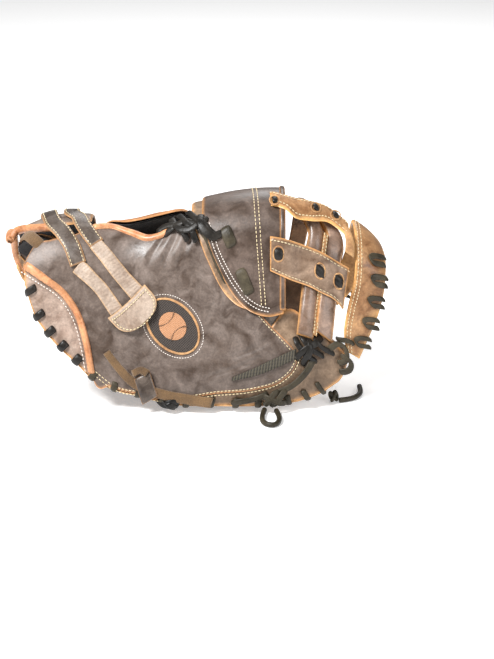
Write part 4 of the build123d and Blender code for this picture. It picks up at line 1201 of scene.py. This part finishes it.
sew("web_base_edge_stitching", white_thread, "patch_thread", "finger_side", rows)

bar_paths = {
    "near": (
        [(91.5, 62), (94, 84), (96.5, 105), (99, 130), (101.5, 150)], (90.5, -5),
        [(90.5, 151), (88.5, 130), (85, 108), (81, 86)],
    ),
    "far": (
        [(107.5, 62), (110, 84), (112.5, 105), (115, 130), (117.5, 148)], (106.3, -5),
        [(106.5, 146), (104.5, 126), (101, 104), (97, 80)],
    ),
}
bar_lift = curve((0, 0.5), (0.06, 0.5), (0.16, -4), (1, -4))
bar_height = curve((0, 6.5), (0.1, 8.2), (0.2, 9.2), (0.5, 9.2), (0.8, 7.4), (1, 6.6))
bar_leather = leather(
    "bar_leather", (0.07, 0.04, 0.025), (0.165, 0.102, 0.069), (0.3, 0.21, 0.163), (0.58, 0.29, 0.10),
    roughness=0.3, bump=0.25, worn=0.25, raw_edge=1.0, dirt_and_floor_shade=0.2,
)
for bar, (near, over, far) in bar_paths.items():
    power = 2.3 if bar == "near" else 3.2
    piece = strap(
        f"web_bar_{bar}", [*finger_points(*near), over, *thumb_points(*far)], 14.4, bar_lift, bar_height,
        roundness=power, step=2.0, wave=0.4,
    )
    dress(
        piece, bar_leather, "web_leather", None, f"web_bar_{bar}_finger", f"web_bar_{bar}_thumb", fold=True
    )
seam = strap(
    "web_bar_seam", finger_points((99.8, 63), (102.2, 84), (104.6, 105), (107, 130), (109.5, 149)), 3.6,
    lambda t: 0.8 - 3.6 * ease(t * 4), 6.6, roundness=2.2,
)
dress(seam, raw_edge, "web_leather", "finger_side")
seam_line = finger_points((99.8, 64), (102.2, 84), (104.6, 105), (107, 130), (109.5, 148))
rows = [
    stitches(seam_line, lambda t: 7.6 - 3.6 * ease(t * 4), pitch=3.0, length=2.3, gauge=0.8, offset=gap)
    for gap in (-1.2, 1.2)
]
sew("web_bar_stitching", yellow_thread, "patch_thread", "finger_side", rows)

post_leather = leather(
    "post_leather", (0.075, 0.042, 0.026), (0.18, 0.112, 0.07), (0.30, 0.205, 0.14), (0.60, 0.30, 0.11),
    roughness=0.34, bump=0.3, worn=0.25, raw_edge=1.0, dirt_and_floor_shade=0.2,
)
posts = {
    "lower": (
        ((62, 146), (74, 144), (94, 137.5), (113.5, 128.5), (129, 119.5)),
        ((62, 117), (73, 112), (83, 108), (102.5, 100), (118, 91.5), (124, 84)), post_leather,
    ),
    "upper": (
        ((62, 182), (78, 178.5), (94, 177), (113.5, 170), (129, 159)),
        ((63, 171), (74, 168), (84, 161), (96, 159.5), (113.5, 157.5), (129, 146)), warm_web_leather,
    ),
}
post_lift = curve((0, 8.1), (0.2, 8.1), (0.4, 5.6), (0.8, 5.6), (1, 4.4))
for post, (upper, lower, material) in posts.items():
    piece = strap_between(
        f"web_post_{post}_leather", finger_points(*upper, d=7), finger_points(*lower, d=7), post_lift, 4.0,
        roundness=4.5, step=1.6, wave=0.3,
    )
    dress(piece, material, "web_leather", "finger_side", f"web_post_{post}")
    top_row = stitches(
        finger_points(*upper, d=7), lambda t: post_lift(t) + 3.9, pitch=3.0, length=2.2, gauge=0.75,
        offset=-2.6,
    )
    low_row = stitches(
        finger_points(*lower, d=7), lambda t: post_lift(t) + 3.9, pitch=3.0, length=2.2, gauge=0.75,
        offset=2.6,
    )
    sew(f"web_post_{post}_stitching", yellow_thread, "patch_thread", "finger_side", [top_row, low_row])

curl = strap(
    "web_post_upper_curl", finger_points((121, 158), (126.5, 152), (129.5, 143), (129, 131), d=6), 7.5, 5.6,
    3.4, roundness=2.4,
)
dress(curl, raw_edge, "web_leather", "finger_side")
rim_left = [
    *finger_points((126.5, 50), (125, 66), (127.5, 84), (133, 109), (134.5, 138), (134, 150)),
    (133.5, -1.5), *thumb_points((132, 129), (131, 116), (126, 98), (119, 82), (112, 68)),
]
rim_right = [
    *finger_points((138.5, 43), (147, 62), (155.5, 83), (160.5, 109), (159.5, 136), (152.5, 147.5)),
    (151, -1.5), *thumb_points((150, 118), (149, 106), (144, 88), (136, 70), (124, 54)),
]
rim = strap_between("web_rim", rim_left, rim_right, 0.5, 4.2, roundness=3.6, step=2.0, wave=0.4)
dress(rim, warm_web_leather, "web_leather", None, "web_rim_finger", "web_rim_thumb", fold=True)
rows = [stitches(rim_left, 4.6, pitch=3.0, length=2.3, gauge=0.8, offset=gap) for gap in (-2.6, -5.4)]
sew("web_rim_stitching", yellow_thread, "patch_thread", None, rows, fold=True)

# --- Lacing ---------------------------------------------------------------------------------------
# Oiled rawhide laces about 5 mm wide whip the leaves together along their edges, tie the web to the
# crotch and the tips, and end in knots. They are black where oiled, olive-brown where worn.


def lace_leather(name, dark, light, edge, roughness=0.38):
    """Oiled lace: tone by smears, paler at its rubbed edges, with pores and fine cracks."""
    return leather(
        name, dark, tuple((a + b) / 2 for a, b in zip(dark, light)), light, edge, roughness=roughness,
        bump=0.5, worn=0.1, raw_edge=0.45,
    )


black_lace = lace_leather(
    "black_lace", (0.003, 0.003, 0.003), (0.022, 0.018, 0.014), (0.07, 0.05, 0.03), 0.36
)
worn_lace = lace_leather(
    "worn_lace", (0.012, 0.010, 0.006), (0.075, 0.060, 0.036), (0.26, 0.18, 0.08), 0.45
)
for lace_material in (black_lace, worn_lace):
    lace_material.node_tree.nodes["Principled BSDF"].inputs["Specular IOR Level"].default_value = 0.25


def whip_stitches(name, edge, xs, turn, above, width=5.6):
    """U-shaped laces over a laced edge, square to it, each path smooth in (inward, depth)."""
    xs = np.array(xs, float)
    slope = (edge(xs + 1) - edge(xs - 1)) / 2
    inward = np.stack([-slope, np.ones(len(xs))], -1) * turn
    inward = inward / np.linalg.norm(inward, axis=1)[:, None]
    u = [7.0, 6.0, 3.4, 0.8, -1.3, -1.7, -1.5, 0.6, 3.6, 6.6]
    d = [above - 1.2, above + 0.7, above + 1.3, above + 1.1, -0.6, -3.2, -5.6, -7.9, -8.3, -8.0]
    shape = resample(np.stack([u, d], -1), 22)
    x = xs[:, None] + inward[:, :1] * shape[:, 0]
    s = edge(xs)[:, None] + inward[:, 1:] * shape[:, 0]
    under = ease((-shape[:, 1] - 5.6) / 1.5)
    depth = shape[:, 1] - under * (leaf_depth(x, s) - edge_thickness)
    path = np.stack([x, s, depth], -1)
    side = np.stack([-inward[:, 1], inward[:, 0], 0 * xs], -1)[:, None, :]
    return tube_mesh(
        name, *lace_rings(path, width, 2.5, side=np.broadcast_to(side, path.shape), power=2.2, around=12)
    )


heel_laces = whip_stitches(
    "heel_whip_lace", finger_edge, (-142.5, -135.5, -126, -115, -102.5), 1, above=0.8, width=7.4
)
dress(heel_laces, black_lace, "black_lace", "finger_side", "heel_lace_finger")
foot_laces = whip_stitches(
    "foot_whip_lace", finger_edge, (-89, -70, -50, -30, -9, 12, 33, 52, 78, 94, 107), 1, above=1.4
)
dress(foot_laces, worn_lace, "worn_lace", "finger_side", "edge_lace_finger")
thumb_xs = (-152, -142, -129, -114, -97, -77, -56, -35, -14, 7, 28, 49, 68, 84, 96)
thumb_laces = whip_stitches("thumb_whip_lace", thumb_edge, thumb_xs, -1, above=1.4)
dress(thumb_laces, black_lace, "black_lace", "thumb_side", "edge_lace_thumb")


def lace_run(points, width=5.0, thick=2.2, step=1.2, end=1.5):
    """Rings of one flat lace through (x, s, d) points."""
    count = int(max(10, distances(points)[-1] / step))
    return lace_rings(resample(points, count), width, thick, around=12, end=end)


def finger_run(*points, width=5.0, thick=2.2, end=1.5):
    """A finger-side lace through (x, h, d) points."""
    return lace_run([(x, float(finger_s(x, h, max(d, 0))), d) for x, h, d in points], width, thick, end=end)


def thumb_run(*points, width=5.0, thick=2.2):
    """A thumb-side lace through (x, z, d) points."""
    return lace_run([(x, float(thumb_s(x, z)), d) for x, z, d in points], width, thick)


def laces(name, material, slot, body, runs, *nodes):
    """One object from several lace runs."""
    parts = [tube_mesh(f"{name}_{i}", *run) for i, run in enumerate(runs)]
    return dress(join(name, parts), material, slot, body, *nodes)


hairpin = (
    (7.5, 3.0, 4.2), (4, 3.3, 5.8), (0, 3.3, 6.2), (-4.5, 2.6, 6.2), (-6.6, 0, 6.0), (-4.5, -2.6, 6.2),
    (0, -3.3, 6.2), (4, -3.3, 5.8), (7, -3.2, 4.2),
)


def hairpins(run, places):
    """One hairpin lace at each place, drawn by a side's own run function."""
    return [
        run(*[(x + u, h + w - 0.15 * u, d) for u, w, d in hairpin], width=3.5, thick=1.9) for x, h in places
    ]


runs = hairpins(finger_run, ((141.5, 57), (148.5, 73), (153, 91), (155.5, 109), (154, 127)))
laces("rim_hairpin_laces", worn_lace, "worn_lace", "finger_side", runs, "rim_lace_finger")
runs = hairpins(thumb_run, ((129, 66), (137, 82), (142, 100)))
laces("rim_hairpin_laces_thumb_side", worn_lace, "worn_lace", "thumb_side", runs, "rim_lace_thumb")
slot_places = (
    (69, 131, 7), (104, 117, 7), (120, 108.5, 6.5), (66, 177, 4.6), (101, 171, 4.8), (118, 165, 4.8)
)
lace_runs, ring_runs = [], []
turn = np.linspace(0, 2 * math.pi, 13)
for x, h, width in slot_places:
    tall = 5.4 if h < 140 else 2.8
    lift = 12.0 if x < 80 else 9.6
    profile = ((-1, -0.9), (-0.5, 0.7), (0.5, 0.7), (1, -0.9))
    places = [(x, h + tall * up, lift + rise) for up, rise in profile]
    lace_runs.append(finger_run(*places, width=width, thick=2.0, end=2.5))
    ring = [(x + 4.3 * math.cos(a), h + (tall + 1.2) * math.sin(a), lift) for a in turn]
    ring_runs.append(finger_run(*ring, width=1.3, thick=1.1))
laces("post_slot_laces", black_lace, "black_lace", "finger_side", lace_runs, "post_laces")
laces("post_slot_edges", raw_edge, "web_leather", "finger_side", ring_runs)
runs = []
for x, h, half in ((27, 145.5, 9.5), (40.6, 108, 12.0)):
    profile = ((-1, 7.2), (-0.8, 8.5), (-0.3, 9.0), (0.3, 9.0), (0.8, 8.5), (1, 7.2))
    places = [(x + 0.38 * half * u, h - 0.92 * half * u, d) for u, d in profile]
    runs.append(finger_run(*places, width=9.4, thick=1.8, end=4.6))
edge_run = finger_run(
    (5, 152, 7.5), (9, 146, 6.4), (14.5, 133, 6.2), (19.5, 121, 6.2), (24, 112, 5.8), (27, 106.5, 3.6),
    width=6, end=2.5,
)
runs.append(edge_run)
laces("base_slot_laces", worn_lace, "worn_lace", "finger_side", runs)
runs = [
    finger_run((-34, 150, 2.5), (-27, 155, 5.2), (-18, 156, 7.0), (-11, 150, 7.6), (-7, 142, 5.4)),
    finger_run((-28, 147, 2.5), (-20, 154, 6.4), (-10, 159, 8.0), (0, 156, 8.4), (6, 149, 8.8)),
    finger_run((-16, 165, 4.0), (-9, 158, 8.8), (-3, 150, 9.4), (0, 141, 6.2)),
    finger_run((-8, 168, 4.5), (-1, 162, 9.0), (6, 157, 10.4), (12, 150, 9.4), (17, 146, 8.0)),
    finger_run((-22, 162, 3.5), (-15, 153, 8.4), (-6, 152, 10.2), (3, 158, 10.6), (10, 162, 8.2)),
    finger_run((4, 165, 8.0), (3, 158, 12.0), (8, 150, 12.0), (15, 146, 10.2), (22, 149, 8.4), width=6),
]
laces("crotch_knot", black_lace, "black_lace", "finger_side", runs, "crotch_lace")
runs = [
    finger_run((83, 62, 0.0), (85, 56, 4.4), (90, 49, 5.2), (97, 43.5, 4.8), (102, 40.5, 1.5)),
    finger_run((88, 64, 0.0), (91, 58, 5.2), (97, 51, 6.4), (104, 47, 5.2), (108, 45, 1.5)),
    finger_run((100, 63, 0.0), (102, 57, 5.4), (107, 52, 5.6), (113, 49, 4.2), (117, 47, 1.5)),
    finger_run((106, 62, 0.5), (100, 56, 6.6), (93, 52, 7.4), (87, 47, 5.4), (84, 42, 1.5)),
    finger_run((94, 62, 1.0), (96, 55, 7.8), (95, 48, 8.0), (91, 42, 4.4), (90, 37, 1.5)),
]
laces("web_foot_laces", black_lace, "black_lace", "finger_side", runs, "web_foot_lace")
runs = [
    finger_run(
        (111, 50, 2.0), (114.6, 53, 5.4), (120, 55.5, 6.6), (125, 53, 6.8), (127.5, 47, 6.6),
        (126, 41, 5.6), (119.5, 39.5, 2.4), width=4.4,
    ),
    finger_run(
        (122, 45, 4.0), (127, 43.5, 7.0), (131, 39.5, 7.4), (130.5, 35, 7.0), (126, 32, 5.6),
        (121, 32, 2.4), width=4.8,
    ),
    finger_run((118, 60, 2.0), (123, 59, 6.0), (129, 58, 7.0), (134, 55, 5.0), width=4.2),
]
laces("tip_laces", worn_lace, "worn_lace", "finger_side", runs, "tip_lace")
runs = [
    finger_run((100, 44, 1.5), (98, 41, 4.0), (91, 30, 4.6), (80, 20, 4.6), (69, 15, 4.2), (64, 13, 1.5)),
    finger_run((60, 15, 1.5), (58, 13, 4.0), (46, 8.5, 4.6), (34, 6.5, 4.2), (29, 5.5, 1.5)),
]
laces("foot_running_lace", worn_lace, "worn_lace", "finger_side", runs, "foot_lace_run")
runs = [
    finger_run((57, 4, 4.0), (60, 6, 7.2), (66, 14, 7.6), (70, 16, 5.2)),
    finger_run((62, 3.5, 4.5), (67, 6, 7.6), (73, 14, 7.2), (76, 17, 4.6)),
    finger_run((56, 12, 4.8), (62, 9, 8.2), (70, 6, 7.8), (76, 6, 4.6)),
]
laces("foot_lace_knot", worn_lace, "worn_lace", "finger_side", runs, "lace_fold")

runs = [
    finger_run((-33, 9, 1.0), (-28, 4.5, 3.6), (-21, 3.2, 4.4), (-15, 4, 1.6)),
    finger_run((-29, 3.0, 2.0), (-25, 5.5, 5.6), (-19, 6.5, 5.0), (-13, 8, 1.6)),
    finger_run((-24, 9, 1.2), (-24, 4.5, 6.4), (-20, 2.6, 5.4), (-17, 2.4, 2.2)),
]
laces("foot_edge_knot", black_lace, "black_lace", "finger_side", runs)

# --- Wedge inset, suede strap and keeper ----------------------------------------------------------
# A narrow ribbed inset lies under the panel's lower right edge. The adjusting strap is soft ochre
# suede that passes through a dark glossy keeper and a short loop.

wedge_cloth = ribbed_cloth(
    "wedge_weave", (0.012, 0.010, 0.007), (0.065, 0.055, 0.036), pitch=120.0, turn=0.3
)
wedge = strap_between(
    "wedge_inset_weave", finger_points((84, 52), (68, 45), (50, 36.5), (30, 28)),
    finger_points((85, 44), (70, 37), (52, 30), (30, 25)), 2.9, 1.7, roundness=4.0, step=1.8,
)
dress(wedge, wedge_cloth, "web_leather", "finger_side", "wedge_inset")
suede_path = finger_points(
    (-76, 49), (-66, 36), (-55.5, 25), (-43, 18), (-28, 13.5), (-12, 10.5), (4, 8), (13, 7)
)
suede_strap = strap(
    "suede_adjusting_strap", suede_path, lambda t: 8.6 - 1.2 * (1 - t), 3.2, 2.1, roundness=4.0, step=1.6,
    wave=0.25,
)
dress(suede_strap, suede, "suede", "finger_side", "suede_strap")
keeper = strap(
    "strap_keeper_leather", finger_points((-46, 30), (-43.5, 22), (-40.5, 13), (-39, 9)), 14, 4.9, 2.6,
    roundness=3.4, step=1.5,
)
keeper_leather = leather(
    "keeper_leather", (0.025, 0.017, 0.013), (0.06, 0.045, 0.036), (0.14, 0.11, 0.09), (0.38, 0.2, 0.09),
    roughness=0.24, bump=0.25, worn=0.06, raw_edge=0.6, dirt_and_floor_shade=0.2,
)
dress(keeper, keeper_leather, "back_leather", "finger_side", "strap_keeper")
loop = strap(
    "keeper_loop_suede", finger_points((-54, 31), (-47, 34), (-41, 31.5)), 6, 7.6, 1.8, roundness=3.0,
    step=1.2,
)
dress(loop, suede, "suede", "finger_side", "keeper_loop")

# --- Hook and loop under the tab ------------------------------------------------------------------
# Two small squares of hook-and-loop tape hold the tab down: one on the back, one under the pad.
# They keep the CAD nodes' own flat meshes.

hook_tape = cloth(
    "hook_and_loop", (0.015, 0.015, 0.016), (0.07, 0.07, 0.072), weave=2200.0, roughness=0.85, bump=1.0
)
for name in ("hook_patch", "loop_patch"):
    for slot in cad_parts[name].material_slots:
        slot.material = hook_tape

# --- Free laces and the knot at the tip -----------------------------------------------------------
# The foot lace's spare length makes a loop on the floor and goes back into the edge. The tip lace is
# knotted in front of the tip and its cut tail lies on the floor.

free_radius = 0.0023
free_level = 2.4  # mm from the floor to a lace's middle


def free_lace(name, route, node_name):
    """A round lace: a NURBS curve with the route's (x, y) points as its control points."""
    data = bpy.data.curves.new(name, "CURVE")
    data.dimensions = "3D"
    data.bevel_depth = free_radius
    data.bevel_resolution = 4
    data.use_fill_caps = True
    data.resolution_u = 24
    spline = data.splines.new("NURBS")
    spline.points.add(len(route) - 1)
    places = [(np.array([x, y, free_level]) + to_origin) / 1000 for x, y in route]
    for point, place in zip(spline.points, places):
        point.co = (*place, 1)
    spline.order_u = 3
    spline.use_endpoint_u = True
    obj = bpy.data.objects.new(name, data)
    bpy.context.scene.collection.objects.link(obj)
    dress(obj, worn_lace, "worn_lace", "finger_side", node_name)


loop_route = ((57.5, -74), (54.5, -90), (57, -105), (67, -108), (71, -92), (67.5, -76))
free_lace("free_lace_loop", loop_route, "lace_loop")
tail_route = ((122, -52.5), (131.5, -50), (139, -42), (142, -31), (141, -20))
free_lace("free_lace_tail", tail_route, "lace_tail")


def knot(name, centre, size):
    """A trefoil tube in a box of the given size: (sin t + 2 sin 2t, cos t - 2 cos 2t, -sin 3t)."""
    t = np.linspace(0, 2 * math.pi, 90, endpoint=False)
    line = np.stack([np.sin(t) + 2 * np.sin(2 * t), np.cos(t) - 2 * np.cos(2 * t), -np.sin(3 * t)], -1)
    tangent = np.roll(line, -1, axis=0) - np.roll(line, 1, axis=0)
    tangent = tangent / np.linalg.norm(tangent, axis=1)[:, None]
    side = np.cross(tangent, [0.2, 0.3, 1.0])
    side = side / np.linalg.norm(side, axis=1)[:, None]
    normal = np.cross(tangent, side)
    angle = np.linspace(0, 2 * math.pi, 12, endpoint=False)[None, :, None]
    rings = line[:, None] * np.array([0.26, 0.26, 0.62])
    rings = rings + 0.32 * (side[:, None] * np.cos(angle) + normal[:, None] * np.sin(angle))
    rings = rings * np.array(size) / 2 + (np.array(centre) + to_origin)
    rings = np.concatenate([rings, rings[:2]]) / 1000
    uv = np.zeros(rings.shape[:2] + (2,))
    return tube_mesh(name, rings, uv, np.zeros(rings.shape[:2]))


tip_knot = knot("tip_knot_lace", (117, -51, 5.6), (9.0, 8.5, 10.6))
dress(tip_knot, worn_lace, "worn_lace", "finger_side", "tip_knot")

# --- Floor, light and camera ----------------------------------------------------------------------
# A plain near-white floor that meets a white surround, three soft lights and a longish lens.

bpy.ops.mesh.primitive_plane_add(size=8, location=(0, 0, 0))
floor = bpy.context.object
floor.name = "floor"
paper, _, paper_shader = new_material("floor_paper")
paper_shader.inputs["Base Color"].default_value = (0.9, 0.9, 0.9, 1)
paper_shader.inputs["Roughness"].default_value = 0.8
paper_shader.inputs["Emission Color"].default_value = (1, 1, 1, 1)
paper_shader.inputs["Emission Strength"].default_value = 0.35
floor.data.materials.append(paper)
world = bpy.data.worlds.new("studio")
bpy.context.scene.world = world
world.use_nodes = True
sky = world.node_tree.nodes["Background"]
sky.inputs["Color"].default_value = (1, 1, 1, 1)
seen = world.node_tree.nodes.new("ShaderNodeLightPath")
level = world.node_tree.nodes.new("ShaderNodeMapRange")
level.inputs["To Min"].default_value = 0.22
level.inputs["To Max"].default_value = 1.0
world.node_tree.links.new(seen.outputs["Is Camera Ray"], level.inputs["Value"])
world.node_tree.links.new(level.outputs[0], sky.inputs["Strength"])


def aim(obj, place, target):
    """Puts obj at a place, its -Z towards the target and its Y upwards."""
    direction = Vector(target) - Vector(place)
    obj.location = place
    obj.rotation_euler = direction.to_track_quat("-Z", "Y").to_euler()


def soft_light(name, place, size, power):
    """A square area light aimed at the middle of the mitt."""
    data = bpy.data.lights.new(name, "AREA")
    data.size = size
    data.energy = power
    obj = bpy.data.objects.new(name, data)
    bpy.context.scene.collection.objects.link(obj)
    aim(obj, place, (0, 0, 0.08))


soft_light("key", (-0.75, -0.75, 1.35), size=0.5, power=50)
soft_light("fill", (1.1, -0.9, 0.7), size=0.7, power=9)
soft_light("back", (0.2, 1.2, 1.3), size=0.9, power=14)
camera_data = bpy.data.cameras.new("camera")
camera_data.lens = 100
camera_data.sensor_width = 36
camera_data.clip_end = 20
camera = bpy.data.objects.new("camera", camera_data)
bpy.context.scene.collection.objects.link(camera)
camera_tilt, camera_distance = math.radians(20), 1.6
target = Vector((0.0422, 0, 0.0501))
away = Vector((0, -math.cos(camera_tilt), math.sin(camera_tilt)))
aim(camera, target + away * camera_distance, target)
bpy.context.scene.camera = camera
bpy.context.scene.view_settings.view_transform = "Standard"
